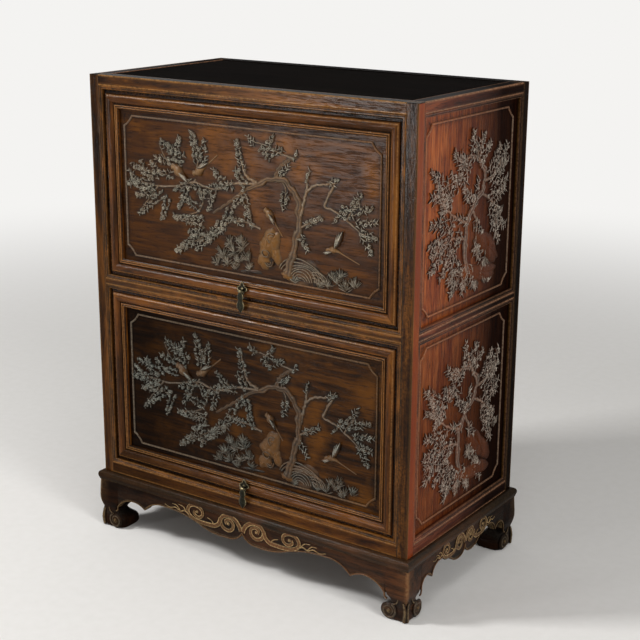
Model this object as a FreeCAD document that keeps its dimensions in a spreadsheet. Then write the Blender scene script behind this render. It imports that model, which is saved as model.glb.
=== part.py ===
import FreeCAD, Part
import os
import re
import Sketcher

# A two-tier cabinet on a low stand. Each tier is closed by one inset door that swings up about
# two pins near its top edge and slides back into the case along grooved guides.
# Frame: millimetres, +Z up, the front faces -Y, origin on the floor below the middle of the case.

os.makedirs("parts", exist_ok=True)
doc = FreeCAD.newDocument("receding_door_cabinet")
Vector = FreeCAD.Vector

# Driving sizes. Every other size and place is worked out from these.
SIZES = {
    # Case
    "body_width": 600,
    "body_depth": 330,
    "body_height": 668,
    "post_width": 24,
    "top_rail_height": 22,
    "middle_rail_height": 22.4,
    "bottom_rail_height": 24.6,
    "bead_width": 3,
    "bead_inset": 4,
    "bead_relief": 1,
    "top_board_thickness": 12,
    "top_board_drop": 1,
    "shelf_thickness": 12,
    "bottom_board_thickness": 12,
    "back_board_thickness": 10,
    "back_board_recess": 8,
    # Carved panels of the sides
    "side_panel_thickness": 7,
    "side_panel_recess": 8,
    "side_border_inset": 12,
    # Raised border on every carved panel
    "border_width": 3.2,
    "border_height": 2,
    "border_corner": 17,
    "border_corner_sag": 2,
    "border_bevel": 0.9,
    # Carved forms that stand on a panel's ground
    "trunk_height": 4,
    "bough_height": 2.6,
    "leaf_height": 1.8,
    "rock_height": 3,
    "bird_height": 3.2,
    # Doors
    "door_thickness": 20,
    "door_frame_width": 28,
    "door_side_gap": 1,
    "door_top_gap": 1.6,
    "door_bottom_gap": 1,
    "door_edge_recess": 6,
    "pillow_start": 4,
    "pillow_width": 16,
    "inner_bead_width": 2.8,
    "inner_bead_recess": 3.4,
    "inner_groove_recess": 5.2,
    "door_panel_recess": 10,
    "door_panel_thickness": 6,
    "door_border_inset": 9,
    # Pivot pins, their bores, grooves and travel
    "pin_radius": 3,
    "pin_drop": 20,
    "pin_back_setback": 6,
    "pin_seat_depth": 12,
    "pin_reach": 6.5,
    "pin_play": 0.05,
    "groove_play": 0.1,
    "pin_end_gap": 0.5,
    "door_travel": 232,
    # Guides, stops and rests inside the case
    "guide_below_pin": 14,
    "stop_size": 12,
    "stop_gap": 0.3,
    "rest_length": 30,
    "rest_lead": 20,
    "rest_height": 8,
    "rest_gap": 1,
    # Pulls
    "pull_height": 15,
    "plate_disc_radius": 6.5,
    "plate_lobe_radius": 4,
    "plate_lobe_reach": 6.5,
    "plate_thickness": 1.5,
    "staple_wire_radius": 1.1,
    "staple_half_span": 4.5,
    "staple_standoff": 4.3,
    "barrel_radius": 2.5,
    "barrel_end_gap": 0.35,
    "barrel_play": 0.1,
    "pendant_length": 33,
    "pendant_half_width": 7.2,
    "pendant_thickness": 2.4,
    # Stand
    "stand_height": 101,
    "stand_overhang": 9,
    "base_rail_height": 16,
    "base_rail_width": 60,
    "shoulder_radius": 7,
    "apron_height": 47,
    "apron_setback": 2,
    "apron_thickness": 14,
    "leg_width": 42,
    "foot_width": 54,
    "foot_height": 32,
    "ankle_inset": 4,
    "ankle_width": 32,
    "toe_radius": 5,
    "cut_overrun": 2,
}

# Sizes that follow from the driving ones, written in their names.
DERIVED = {
    "half_width": "body_width / 2",
    "half_depth": "body_depth / 2",
    "inner_half_width": "half_width - post_width",
    "inner_half_depth": "half_depth - post_width",
    "stand_half_width": "half_width + stand_overhang",
    "stand_half_depth": "half_depth + stand_overhang",
    "body_top": "stand_height + body_height",
    "rails_height": "top_rail_height + middle_rail_height + bottom_rail_height",
    "opening_height": "(body_height - rails_height) / 2",
    "lower_opening_bottom": "stand_height + bottom_rail_height",
    "lower_opening_top": "lower_opening_bottom + opening_height",
    "upper_opening_bottom": "lower_opening_top + middle_rail_height",
    "upper_opening_top": "upper_opening_bottom + opening_height",
    "back_board_front": "half_depth - back_board_recess - back_board_thickness",
    "door_width": "2 * (inner_half_width - door_side_gap)",
    "door_height": "opening_height - door_top_gap - door_bottom_gap",
    "door_back": "door_thickness - half_depth",
    "pin_depth": "door_back - pin_back_setback",
    "pillow_end": "pillow_start + pillow_width",
    "inner_bead_start": "pillow_end + inner_groove_width",
    "inner_groove_width": "(door_frame_width - pillow_end - 2 * inner_bead_width) / 2",
    "pin_inner_end": "door_width / 2 - pin_seat_depth",
    "pin_outer_end": "inner_half_width + pin_reach",
    "groove_depth": "pin_reach + pin_end_gap",
    "groove_half_height": "pin_radius + groove_play",
    "groove_rear": "pin_depth + door_travel + groove_half_height",
    "side_panel_face": "half_width - side_panel_recess",
    "guide_thickness": "side_panel_face - side_panel_thickness - inner_half_width",
    "plate_front": "half_depth + plate_thickness",
    "staple_axis_depth": "plate_front + staple_standoff",
    "barrel_half_length": "staple_half_span - staple_wire_radius - barrel_end_gap",
    "base_rail_bottom": "stand_height - base_rail_height",
    "apron_half_width": "stand_half_width - leg_width",
    "apron_half_depth": "stand_half_depth - leg_width",
    "ankle_top": "base_rail_bottom - apron_height",
}

X_AXIS = Vector(1, 0, 0)
Y_AXIS = Vector(0, 1, 0)
Z_AXIS = Vector(0, 0, 1)

# Lower edge of an apron from its middle to a leg, as arcs: middle point, then end point.
# Each point is a share of the half span and a share of the apron height below its top.
APRON_START_SHARE = 0.43
APRON_ARC_SHARES = [
    ((0.034, 0.66), (0.112, 0.772)),
    ((0.225, 0.755), (0.330, 0.589)),
    ((0.464, 0.394), (0.603, 0.343)),
    ((0.708, 0.447), (0.772, 0.726)),
    ((0.884, 0.553), (1.000, 0.936)),
]

# Outline of a pendant, right half from its neck to its tip, as arcs: middle point, then end
# point. Each point is a share of the half width and a share of the length below the axis.
PENDANT_NECK_SHARES = (0.30, 0.03)
PENDANT_ARC_SHARES = [
    ((0.62, 0.22), (0.36, 0.40)),
    ((1.00, 0.66), (0.42, 0.88)),
    ((0.20, 0.94), (0.00, 1.00)),
]

# Main forms of a door's carving, each a loop of points. A point is a share of the panel's half
# width and a share of its half height. Twigs, leaves and blossoms are finer than these.
DOOR_CARVING_SHARES = {
    "trunk": [
        [(0.28, -0.82), (0.32, -0.58), (0.36, -0.32), (0.38, -0.04), (0.34, 0.18), (0.25, 0.30),
         (0.15, 0.25), (-0.01, 0.12), (-0.26, -0.22), (-0.25, -0.17), (0.00, 0.21), (0.15, 0.36),
         (0.27, 0.41), (0.38, 0.27), (0.42, -0.04), (0.41, -0.32), (0.37, -0.58), (0.35, -0.82)],
    ],
    "bough": [
        [(0.09, 0.29), (-0.08, 0.25), (-0.24, 0.14), (-0.40, 0.18), (-0.61, 0.08), (-0.91, 0.12),
         (-0.91, 0.08), (-0.61, 0.05), (-0.40, 0.14), (-0.24, 0.09), (-0.08, 0.20), (0.09, 0.23)],
        [(0.42, 0.12), (0.49, 0.34), (0.63, 0.38), (0.61, 0.14), (0.67, 0.07), (0.76, -0.02),
         (0.90, -0.23), (0.88, -0.27), (0.74, -0.08), (0.66, 0.02), (0.57, 0.08), (0.60, 0.32),
         (0.51, 0.28), (0.44, 0.07)],
        [(0.21, 0.38), (0.24, 0.52), (0.31, 0.62), (0.38, 0.68), (0.39, 0.62), (0.32, 0.56),
         (0.27, 0.47), (0.24, 0.35)],
    ],
    "leaf": [
        [(-0.94, -0.03), (-0.87, -0.37), (-0.81, -0.35), (-0.75, -0.12), (-0.68, -0.05),
         (-0.69, 0.20), (-0.81, 0.37), (-0.92, 0.32)],
        [(-0.72, 0.42), (-0.66, 0.70), (-0.52, 0.75), (-0.41, 0.87), (-0.30, 0.77), (-0.32, 0.45),
         (-0.45, 0.35), (-0.59, 0.22), (-0.68, 0.27)],
        [(-0.23, -0.33), (-0.34, -0.12), (-0.48, -0.03), (-0.61, -0.08), (-0.66, -0.42),
         (-0.58, -0.45), (-0.54, -0.80), (-0.40, -0.76), (-0.28, -0.61)],
        [(-0.07, 0.12), (-0.14, 0.27), (-0.25, 0.39), (-0.34, 0.08), (-0.30, -0.08),
         (-0.21, -0.24), (-0.10, -0.08)],
        [(-0.02, 0.27), (-0.09, 0.42), (-0.10, 0.76), (-0.01, 0.86), (0.08, 0.81), (0.01, 0.50)],
        [(0.12, 0.65), (0.15, 0.83), (0.24, 0.88), (0.40, 0.71), (0.34, 0.55), (0.23, 0.60)],
        [(0.01, 0.06), (0.05, -0.15), (0.08, -0.32), (-0.03, -0.34), (-0.12, -0.27),
         (-0.04, -0.14)],
        [(0.45, 0.36), (0.47, 0.54), (0.58, 0.44), (0.69, 0.47), (0.67, 0.33), (0.55, 0.30)],
        [(0.43, -0.13), (0.57, -0.03), (0.58, -0.12), (0.49, -0.26), (0.48, -0.50),
         (0.42, -0.33)],
        [(0.70, 0.02), (0.79, 0.33), (0.86, 0.35), (0.94, 0.20), (0.94, -0.23), (0.90, -0.43),
         (0.83, -0.23), (0.74, -0.10)],
        [(-0.26, -0.88), (-0.20, -0.68), (-0.10, -0.53), (0.02, -0.45), (0.07, -0.65),
         (0.03, -0.88)],
        [(0.50, -0.88), (0.57, -0.75), (0.71, -0.70), (0.84, -0.81), (0.83, -0.88)],
    ],
    "rock": [
        [(0.14, -0.38), (0.19, -0.24), (0.26, -0.35), (0.26, -0.56), (0.21, -0.78),
         (0.27, -0.90), (0.04, -0.90), (0.12, -0.72)],
        [(0.29, -0.90), (0.31, -0.70), (0.40, -0.58), (0.50, -0.60), (0.57, -0.72),
         (0.60, -0.90)],
    ],
    "bird": [
        [(-0.59, 0.35), (-0.56, 0.38), (-0.49, 0.32), (-0.39, 0.14), (-0.49, 0.18),
         (-0.55, 0.27)],
        [(-0.42, 0.28), (-0.40, 0.34), (-0.34, 0.42), (-0.21, 0.57), (-0.28, 0.40),
         (-0.35, 0.29), (-0.39, 0.24)],
        [(0.13, -0.03), (0.17, -0.02), (0.21, -0.10), (0.28, -0.35), (0.23, -0.27),
         (0.18, -0.17), (0.15, -0.09)],
        [(0.58, -0.44), (0.62, -0.37), (0.68, -0.37), (0.83, -0.55), (0.72, -0.51),
         (0.65, -0.47)],
    ],
}

# The same for a side panel, whose first share runs towards the rear.
SIDE_CARVING_SHARES = {
    "trunk": [
        [(-0.08, -0.67), (-0.13, -0.43), (-0.10, -0.13), (0.04, 0.08), (0.21, 0.18),
         (0.27, 0.29), (0.17, 0.41), (-0.04, 0.49), (-0.03, 0.57), (0.23, 0.50), (0.38, 0.31),
         (0.30, 0.09), (0.13, -0.03), (0.01, -0.19), (-0.01, -0.41), (0.05, -0.65)],
    ],
    "bough": [
        [(-0.03, -0.10), (-0.27, -0.03), (-0.51, 0.10), (-0.77, 0.24), (-0.76, 0.21),
         (-0.49, 0.06), (-0.25, -0.08), (-0.03, -0.16)],
        [(-0.04, -0.27), (-0.28, -0.22), (-0.57, -0.26), (-0.79, -0.44), (-0.78, -0.47),
         (-0.56, -0.30), (-0.28, -0.27), (-0.04, -0.32)],
        [(0.31, 0.27), (0.50, 0.29), (0.69, 0.43), (0.79, 0.42), (0.79, 0.39), (0.70, 0.39),
         (0.50, 0.24), (0.31, 0.22)],
        [(0.27, 0.15), (0.47, 0.05), (0.66, -0.10), (0.80, -0.28), (0.78, -0.31),
         (0.64, -0.14), (0.46, 0.01), (0.27, 0.09)],
    ],
    "leaf": [
        [(-0.31, 0.13), (-0.44, 0.31), (-0.65, 0.44), (-0.81, 0.53), (-0.86, 0.40),
         (-0.85, 0.20), (-0.70, 0.12), (-0.45, 0.05)],
        [(-0.24, -0.15), (-0.38, -0.05), (-0.60, 0.01), (-0.84, 0.00), (-0.86, -0.24),
         (-0.84, -0.52), (-0.62, -0.63), (-0.37, -0.45), (-0.20, -0.31)],
        [(-0.10, -0.53), (-0.27, -0.47), (-0.44, -0.67), (-0.41, -0.83), (-0.07, -0.85)],
        [(-0.04, 0.24), (-0.23, 0.22), (-0.42, 0.37), (-0.40, 0.58), (-0.22, 0.62),
         (-0.09, 0.46)],
        [(-0.06, 0.57), (-0.06, 0.77), (0.09, 0.83), (0.31, 0.75), (0.45, 0.63), (0.35, 0.48),
         (0.10, 0.53)],
        [(0.38, 0.21), (0.50, 0.43), (0.62, 0.60), (0.82, 0.59), (0.86, 0.40), (0.85, 0.16),
         (0.65, 0.11), (0.44, 0.12)],
        [(0.40, 0.01), (0.62, 0.06), (0.82, 0.08), (0.86, -0.08), (0.85, -0.31),
         (0.74, -0.45), (0.60, -0.33), (0.45, -0.13)],
        [(0.10, -0.11), (0.32, -0.28), (0.40, -0.46), (0.22, -0.48), (0.08, -0.35)],
    ],
    "rock": [
        [(0.17, -0.29), (0.31, -0.24), (0.60, -0.44), (0.75, -0.64), (0.60, -0.71),
         (0.34, -0.55)],
        [(-0.06, -0.66), (0.26, -0.64), (0.56, -0.75), (0.70, -0.76), (0.66, -0.83),
         (0.28, -0.82), (-0.04, -0.74)],
    ],
}

sheet = doc.addObject("Spreadsheet::Sheet", "Sizes")
for row, (alias, size) in enumerate(SIZES.items(), start=1):
    sheet.set(f"A{row}", alias)
    sheet.set(f"B{row}", str(size))
    sheet.setAlias(f"B{row}", alias)
doc.recompute()

finished = []


def bound(text):
    """Expression text with every named size spelled out as a cell of the sheet."""
    def spell(match):
        word = match.group(0)
        if word in DERIVED:
            return "(" + bound(DERIVED[word]) + ")"
        if word in SIZES:
            return "Sizes." + word
        return word
    return re.sub(r"[a-z][a-z_]+", spell, text)


def value(text):
    """Number that an expression gives with the sheet as it stands."""
    return float(sheet.evalExpression(bound(text)))


def finish(thing, label):
    """Label a sub-part and put it on the list of pieces to write."""
    thing.Label = label
    finished.append(thing)
    return thing


def set_place(thing, place, turn=None):
    """Bind an object's base point to three expressions, after an optional turn."""
    if turn is not None:
        thing.Placement = FreeCAD.Placement(Vector(0, 0, 0), turn)
    for axis, text in zip("xyz", place):
        thing.setExpression(f"Placement.Base.{axis}", bound(text))


def turned(x_way, y_way):
    """Rotation that carries the local X and Y axes to two directions at right angles."""
    return FreeCAD.Rotation(x_way, y_way, x_way.cross(y_way), "XYZ")


def across(low, high, side):
    """Range along an axis on the positive side, or its mirror image on the negative side."""
    return (low, high) if side > 0 else (f"-({high})", f"-({low})")


def block(name, x_range, y_range, z_range):
    """Box between three pairs of expressions."""
    box = doc.addObject("Part::Box", name)
    ranges = (x_range, y_range, z_range)
    for side, (low, high) in zip(("Length", "Width", "Height"), ranges):
        box.setExpression(side, bound(f"({high}) - ({low})"))
    set_place(box, [low for low, high in ranges])
    return box


def rod(name, radius, start, length, way):
    """Cylinder that starts at a point and runs along one direction."""
    cylinder = doc.addObject("Part::Cylinder", name)
    cylinder.setExpression("Radius", bound(radius))
    cylinder.setExpression("Height", bound(length))
    set_place(cylinder, start, FreeCAD.Rotation(Z_AXIS, way))
    return cylinder


def joined(name, pieces):
    """One object that holds several solids, fused where they meet."""
    fuse = doc.addObject("Part::MultiFuse", name)
    fuse.Shapes = pieces
    return fuse


def cut_from(name, base, tools):
    """Base with each tool cut away in turn."""
    for count, tool in enumerate(tools):
        cut = doc.addObject("Part::Cut", f"{name}_cut_{count}")
        cut.Base = base
        cut.Tool = tool
        base = cut
    return base


def outline(body, name, role, loops, flip_x="", flip_y=""):
    """Closed loops of lines and arcs on one origin plane of a body, every point bound.

    A loop is a list of steps. A step is the pair of expressions of a corner, or a middle
    point and an end point of an arc from the step before. The last step closes the loop.
    """
    sketch = body.newObject("Sketcher::SketchObject", name)
    plane = [item for item in body.Origin.OriginFeatures if item.Role == role][0]
    sketch.AttachmentSupport = [(plane, "")]
    sketch.MapMode = "FlatFace"

    def signed(point):
        return (f"{flip_x}({point[0]})", f"{flip_y}({point[1]})")

    def at(point):
        return Vector(value(point[0]), value(point[1]), 0)

    def fix(geometry, spot, point):
        for kind, text, size in zip(("DistanceX", "DistanceY"), point, at(point)):
            rule = Sketcher.Constraint(kind, -1, 1, geometry, spot, size)
            sketch.setExpression(f"Constraints[{sketch.addConstraint(rule)}]", bound(text))

    for steps in loops:
        ends = [signed(step[-1] if isinstance(step[0], tuple) else step) for step in steps]
        edges = []
        for index, step in enumerate(steps):
            start, end = ends[index - 1], ends[index]
            if isinstance(step[0], tuple):
                middle = signed(step[0])
                arc = Part.Arc(at(start), at(middle), at(end))
                edges.append((sketch.addGeometry(arc, False), start, end, middle))
            else:
                line = Part.LineSegment(at(start), at(end))
                edges.append((sketch.addGeometry(line, False), start, end, None))
        for index, (edge, start, end, middle) in enumerate(edges):
            # An arc's own first point may be either end, so its ends are found by distance.
            first = sketch.getPoint(edge, 1)
            goes_on = first.distanceToPoint(at(start)) <= first.distanceToPoint(at(end))
            last_spot = 2 if goes_on else 1
            following, next_start, next_end, _ = edges[(index + 1) % len(edges)]
            next_first = sketch.getPoint(following, 1)
            starts = next_first.distanceToPoint(at(next_start))
            next_spot = 1 if starts <= next_first.distanceToPoint(at(next_end)) else 2
            sketch.addConstraint(
                Sketcher.Constraint("Coincident", edge, last_spot, following, next_spot))
            fix(edge, last_spot, end)
            if middle is not None:
                point = sketch.addGeometry(Part.Point(at(middle)), True)
                sketch.addConstraint(Sketcher.Constraint("PointOnObject", point, 1, edge))
                fix(point, 1, middle)
    return sketch


def pad(body, name, sketch, length, both_ways=False, backwards=False):
    """Pad of a sketch in a body."""
    feature = body.newObject("PartDesign::Pad", name)
    feature.Profile = sketch
    feature.setExpression("Length", bound(length))
    feature.Midplane = both_ways
    feature.Reversed = backwards
    sketch.Visibility = False
    return feature


def pocket_through(body, name, sketch):
    """Pocket of a sketch right through a body, both ways."""
    feature = body.newObject("PartDesign::Pocket", name)
    feature.Profile = sketch
    feature.Type = "ThroughAll"
    feature.Midplane = True
    return feature


def bar(name, section, length, flip_x="", flip_y=""):
    """Body of one section in its XY plane, padded along its Z axis."""
    body = doc.addObject("PartDesign::Body", name)
    sketch = outline(body, f"{name}_section", "XY_Plane", [section], flip_x, flip_y)
    pad(body, f"{name}_pad", sketch, length)
    return body


def mitred_bar(name, section, width, length):
    """Bar whose inner side is shorter by its own width at each end, for a mitred frame."""
    body = bar(name, section, length)
    past_width = f"({width}) + cut_overrun"
    corners = [
        [("-cut_overrun", "-cut_overrun"), (past_width, "-cut_overrun"),
         (past_width, past_width)],
        [("-cut_overrun", f"({length}) + cut_overrun"),
         (past_width, f"({length}) - ({width}) - cut_overrun"),
         (past_width, f"({length}) + cut_overrun")],
    ]
    sketch = outline(body, f"{name}_mitres", "XZ_Plane", corners)
    pocket_through(body, f"{name}_mitre_cuts", sketch)
    return body


def bead_steps(edge, way):
    """Steps along a face towards its opening: groove, round bead crest, then a lower strip.

    The first value is measured along the face, the second into the wood. The opening lies
    at the edge, and way is + where the face runs up to it or - where it starts from it.
    """
    back = "-" if way == "+" else "+"
    start = f"{edge} {back} bead_inset {back} bead_width / 2"
    crest = f"{edge} {back} bead_inset"
    end = f"{edge} {back} bead_inset {way} bead_width / 2"
    steps = [(start, "0"), (start, "bead_relief"), ((crest, "0"), (end, "bead_relief")),
             (edge, "bead_relief")]
    if way == "+":
        return steps
    return [(edge, "bead_relief"), (end, "bead_relief"), ((crest, "0"), (start, "bead_relief")),
            (start, "0")]


def rail_section(height, bead_at_top, bead_at_bottom):
    """Rail section: down from its top edge, then into the wood."""
    steps = bead_steps("0", "-") if bead_at_top else [("0", "0")]
    steps = steps + (bead_steps(height, "+") if bead_at_bottom else [(height, "0")])
    return steps + [(height, "post_width"), ("0", "post_width")]


def post_section(bead_in_front):
    """Post section from its outer corner: along the front face, then into the wood."""
    front = bead_steps("post_width", "+") if bead_in_front else [("post_width", "0")]
    side = []
    for step in bead_steps("post_width", "+")[::-1]:
        points = step if isinstance(step[0], tuple) else (step,)
        side.append(tuple((into, along) for along, into in points))
    # The side face is walked back towards the corner, so its arc ends where the groove is.
    lower, arc, groove, face = side
    groove_end = groove[0]
    crest = arc[0]
    start_of_arc = arc[1]
    return ([("0", "0")] + front + [("post_width", "post_width"), lower[0], start_of_arc,
            (crest, groove_end), face[0]])


def make_posts():
    """Four corner posts; the front ones are grooved for the pins of the doors."""
    for side, word, flip_x in ((-1, "left", ""), (1, "right", "-")):
        for front, place, flip_y in ((True, "front", ""), (False, "rear", "-")):
            label = f"{place}_{word}_post"
            post = bar(f"{label}_body", post_section(front), "body_height", flip_x, flip_y)
            corner_x = "half_width" if side > 0 else "-half_width"
            corner_y = "-half_depth" if front else "half_depth"
            set_place(post, (corner_x, corner_y, "stand_height"))
            if front:
                grooves = [pin_groove(f"{label}_groove_{tier}", side, tier,
                                      "pin_depth", "cut_overrun - inner_half_depth")
                           for tier in ("upper", "lower")]
                post = cut_from(label, post, grooves)
            finish(post, label)


def pin_height(tier):
    """Height of the pivot axis of one door when it is shut."""
    return f"({tier}_opening_top - door_top_gap - pin_drop)"


def pin_groove(name, side, tier, start, end):
    """Tool for a pin groove, from the inner face of a post or guide into the wood."""
    reach = across("inner_half_width - cut_overrun", "inner_half_width + groove_depth", side)
    height = pin_height(tier)
    slot = block(name, reach, (start, end),
                 (f"{height} - groove_half_height", f"{height} + groove_half_height"))
    if start != "pin_depth":
        return slot
    # The shut end of the groove is round, about the pin.
    nose = rod(f"{name}_nose", "groove_half_height", (reach[0], "pin_depth", height),
               f"({reach[1]}) - ({reach[0]})", X_AXIS)
    return joined(f"{name}_whole", [slot, nose])


def make_rails():
    """Front, rear and side rails between the posts."""
    tiers = {
        "top": ("body_top", "top_rail_height", False, True),
        "middle": ("upper_opening_bottom", "middle_rail_height", True, True),
        "bottom": ("lower_opening_bottom", "bottom_rail_height", True, False),
    }
    for tier, (top, height, bead_at_top, bead_at_bottom) in tiers.items():
        section = rail_section(height, bead_at_top, bead_at_bottom)
        rail = bar(f"front_{tier}_rail_body", section, "2 * inner_half_width")
        set_place(rail, ("-inner_half_width", "-half_depth", top), turned(-Z_AXIS, Y_AXIS))
        finish(rail, f"front_{tier}_rail")
        for side, word in ((-1, "left"), (1, "right")):
            rail = bar(f"{word}_{tier}_rail_body", section, "2 * inner_half_depth")
            start = ("half_width", "-inner_half_depth", top)
            if side < 0:
                start = ("-half_width", "inner_half_depth", top)
            set_place(rail, start, turned(-Z_AXIS, -side * X_AXIS))
            finish(rail, f"{word}_{tier}_side_rail")
        if tier != "middle":
            rail = block(f"rear_{tier}_rail_box", ("-inner_half_width", "inner_half_width"),
                         ("inner_half_depth", "half_depth"), (f"{top} - {height}", top))
            finish(rail, f"rear_{tier}_rail")


def make_boards():
    """Top, shelf, bottom and back boards."""
    width = ("-inner_half_width", "inner_half_width")
    depth = ("-inner_half_depth", "inner_half_depth")
    top = "(body_top - top_board_drop)"
    finish(block("top_board_box", width, depth, (f"{top} - top_board_thickness", top)),
           "top_board")
    finish(block("shelf_box", width, ("-inner_half_depth", "back_board_front"),
                 ("upper_opening_bottom - shelf_thickness", "upper_opening_bottom")),
           "shelf_board")
    finish(block("bottom_board_box", width, depth,
                 ("lower_opening_bottom - bottom_board_thickness", "lower_opening_bottom")),
           "bottom_board")
    finish(block("back_board_box", width,
                 ("back_board_front", "back_board_front + back_board_thickness"),
                 ("lower_opening_bottom", "upper_opening_top")),
           "back_board")


def border_loop(half_width, half_height, inset):
    """Rectangle with cut corners that bow slightly inwards, drawn in from a panel's edge."""
    wide = f"(({half_width}) - ({inset}))"
    tall = f"(({half_height}) - ({inset}))"
    corner = "border_corner"
    bow = "(border_corner / 2 + border_corner_sag)"
    steps = []
    for x_sign, y_sign, along_first in (("", "-", True), ("", "", False),
                                        ("-", "", True), ("-", "-", False)):
        on_level = (f"{x_sign}({wide} - {corner})", f"{y_sign}{tall}")
        on_upright = (f"{x_sign}{wide}", f"{y_sign}({tall} - {corner})")
        middle = (f"{x_sign}({wide} - {bow})", f"{y_sign}({tall} - {bow})")
        first, second = (on_level, on_upright) if along_first else (on_upright, on_level)
        steps = steps + [first, (middle, second)]
    return steps


def carved_forms(body, label, half_width, half_height, shares, flip_x):
    """Main forms of a carving on a panel's ground, one pad for each kind and its height."""
    for kind, loops in shares.items():
        points = [[(f"{wide} * ({half_width})", f"{tall} * ({half_height})")
                   for wide, tall in loop] for loop in loops]
        name = f"{label}_{kind}"
        sketch = outline(body, f"{name}_outline", "XZ_Plane", points, flip_x=flip_x)
        pad(body, name, sketch, f"{kind}_height")


def panel(label, half_width, half_height, thickness, inset, centre, turn, shares, flip_x=""):
    """Carved field as a board with a raised border; its face looks along local -Y."""
    body = doc.addObject("PartDesign::Body", f"{label}_body")
    field = [(f"-({half_width})", f"-({half_height})"), (half_width, f"-({half_height})"),
             (half_width, half_height), (f"-({half_width})", half_height)]
    board = outline(body, f"{label}_board_outline", "XZ_Plane", [field])
    pad(body, f"{label}_board", board, thickness, backwards=True)
    rings = [border_loop(half_width, half_height, f"({inset}) - border_width / 2"),
             border_loop(half_width, half_height, f"({inset}) + border_width / 2")]
    ring = outline(body, f"{label}_border_outline", "XZ_Plane", rings)
    border = pad(body, f"{label}_border", ring, "border_height")
    doc.recompute()
    crest = -value("border_height")
    edges = [f"Edge{index}" for index, edge in enumerate(border.Shape.Edges, start=1)
             if all(abs(vertex.Y - crest) < abs(crest) / 100 for vertex in edge.Vertexes)]
    bevel = body.newObject("PartDesign::Chamfer", f"{label}_border_bevel")
    bevel.Base = (border, edges)
    bevel.setExpression("Size", bound("border_bevel"))
    carved_forms(body, label, half_width, half_height, shares, flip_x)
    set_place(body, centre, turn)
    return finish(body, label)


def make_side_panels():
    """Two carved panels in each side."""
    for side, word in ((-1, "left"), (1, "right")):
        for tier in ("upper", "lower"):
            centre = (f"{'-' if side < 0 else ''}side_panel_face", "0",
                      f"({tier}_opening_bottom + {tier}_opening_top) / 2")
            panel(f"{word}_{tier}_side_panel", "inner_half_depth", "opening_height / 2",
                  "side_panel_thickness", "side_border_inset", centre,
                  turned(side * Y_AXIS, -side * X_AXIS), SIDE_CARVING_SHARES,
                  flip_x="-" if side < 0 else "")


def make_guides():
    """Grooved guides that the pins of the doors run in, with door stops and rests."""
    stops = []
    rests = []
    for tier in ("upper", "lower"):
        height = pin_height(tier)
        for side, word in ((-1, "left"), (1, "right")):
            reach = across("inner_half_width", "inner_half_width + guide_thickness", side)
            label = f"{word}_{tier}_door_guide"
            blank = block(f"{label}_blank", reach, ("-inner_half_depth", "inner_half_depth"),
                          (f"{height} - guide_below_pin", f"{tier}_opening_top"))
            groove = pin_groove(f"{label}_groove", side, tier,
                                "-inner_half_depth - cut_overrun", "groove_rear")
            finish(cut_from(label, blank, [groove]), label)
            inside = across("inner_half_width - stop_size", "inner_half_width", side)
            stops.append(block(f"{word}_{tier}_stop", inside,
                               ("door_back + stop_gap", "door_back + stop_gap + stop_size"),
                               (f"{tier}_opening_bottom", f"{tier}_opening_bottom + stop_size")))
            rest_top = f"({height} - pin_back_setback - rest_gap)"
            front = "(pin_depth + door_travel - rest_lead)"
            rests.append(block(f"{word}_{tier}_rest", inside, (front, f"{front} + rest_length"),
                               (f"{rest_top} - rest_height", rest_top)))
    finish(joined("stops_group", stops), "door_stops")
    finish(joined("rests_group", rests), "door_rests")


DOOR_SECTION = [
    ("0", "door_edge_recess"),
    ("pillow_start", "door_edge_recess"),
    (("pillow_start + pillow_width / 2", "0"), ("pillow_end", "door_edge_recess")),
    ("inner_bead_start", "inner_groove_recess"),
    (("inner_bead_start + inner_bead_width / 2", "inner_bead_recess"),
     ("inner_bead_start + inner_bead_width", "inner_groove_recess")),
    (("inner_bead_start + 3 * inner_bead_width / 2", "inner_bead_recess"),
     ("inner_bead_start + 2 * inner_bead_width", "inner_groove_recess")),
    ("door_frame_width", "door_edge_recess"),
    ("door_frame_width", "door_thickness"),
    ("0", "door_thickness"),
]


def make_door(tier):
    """One door: a mitred, moulded frame round a carved panel, with its pins and pull."""
    left = "-door_width / 2"
    right = "door_width / 2"
    bottom = f"({tier}_opening_bottom + door_bottom_gap)"
    top = f"({tier}_opening_top - door_top_gap)"
    members = {
        "left_stile": ((left, bottom), X_AXIS, "door_height"),
        "top_rail": ((left, top), -Z_AXIS, "door_width"),
        "right_stile": ((right, top), -X_AXIS, "door_height"),
        "bottom_rail": ((right, bottom), Z_AXIS, "door_width"),
    }
    for word, ((start_x, start_z), inward, length) in members.items():
        label = f"{tier}_door_{word}"
        member = mitred_bar(f"{label}_body", DOOR_SECTION, "door_frame_width", length)
        set_place(member, (start_x, "-half_depth", start_z), turned(inward, Y_AXIS))
        if word.endswith("stile"):
            member = cut_from(label, member, [pin_bore(f"{label}_bore", tier, inward)])
        finish(member, label)
    panel(f"{tier}_door_panel", "door_width / 2 - door_frame_width",
          "door_height / 2 - door_frame_width", "door_panel_thickness", "door_border_inset",
          ("0", "door_panel_recess - half_depth", f"({bottom} + {top}) / 2"),
          turned(X_AXIS, Y_AXIS), DOOR_CARVING_SHARES)
    height = pin_height(tier)
    pins = [rod(f"{tier}_pin_{word}", "pin_radius", (f"{sign}pin_inner_end", "pin_depth", height),
                "pin_outer_end - pin_inner_end", way)
            for word, sign, way in (("left", "-", -X_AXIS), ("right", "", X_AXIS))]
    finish(joined(f"{tier}_pins_group", pins), f"{tier}_door_pivot_pins")
    make_pull(tier, f"({bottom} + pull_height)")


def pin_bore(name, tier, inward):
    """Tool for the blind bore that a pivot pin turns in, from a stile's outer edge."""
    sign = "-" if inward.x > 0 else ""
    start = f"{sign}(door_width / 2 + cut_overrun)"
    return rod(name, "pin_radius + pin_play", (start, "pin_depth", pin_height(tier)),
               "cut_overrun + pin_seat_depth + pin_end_gap", inward)


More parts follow.
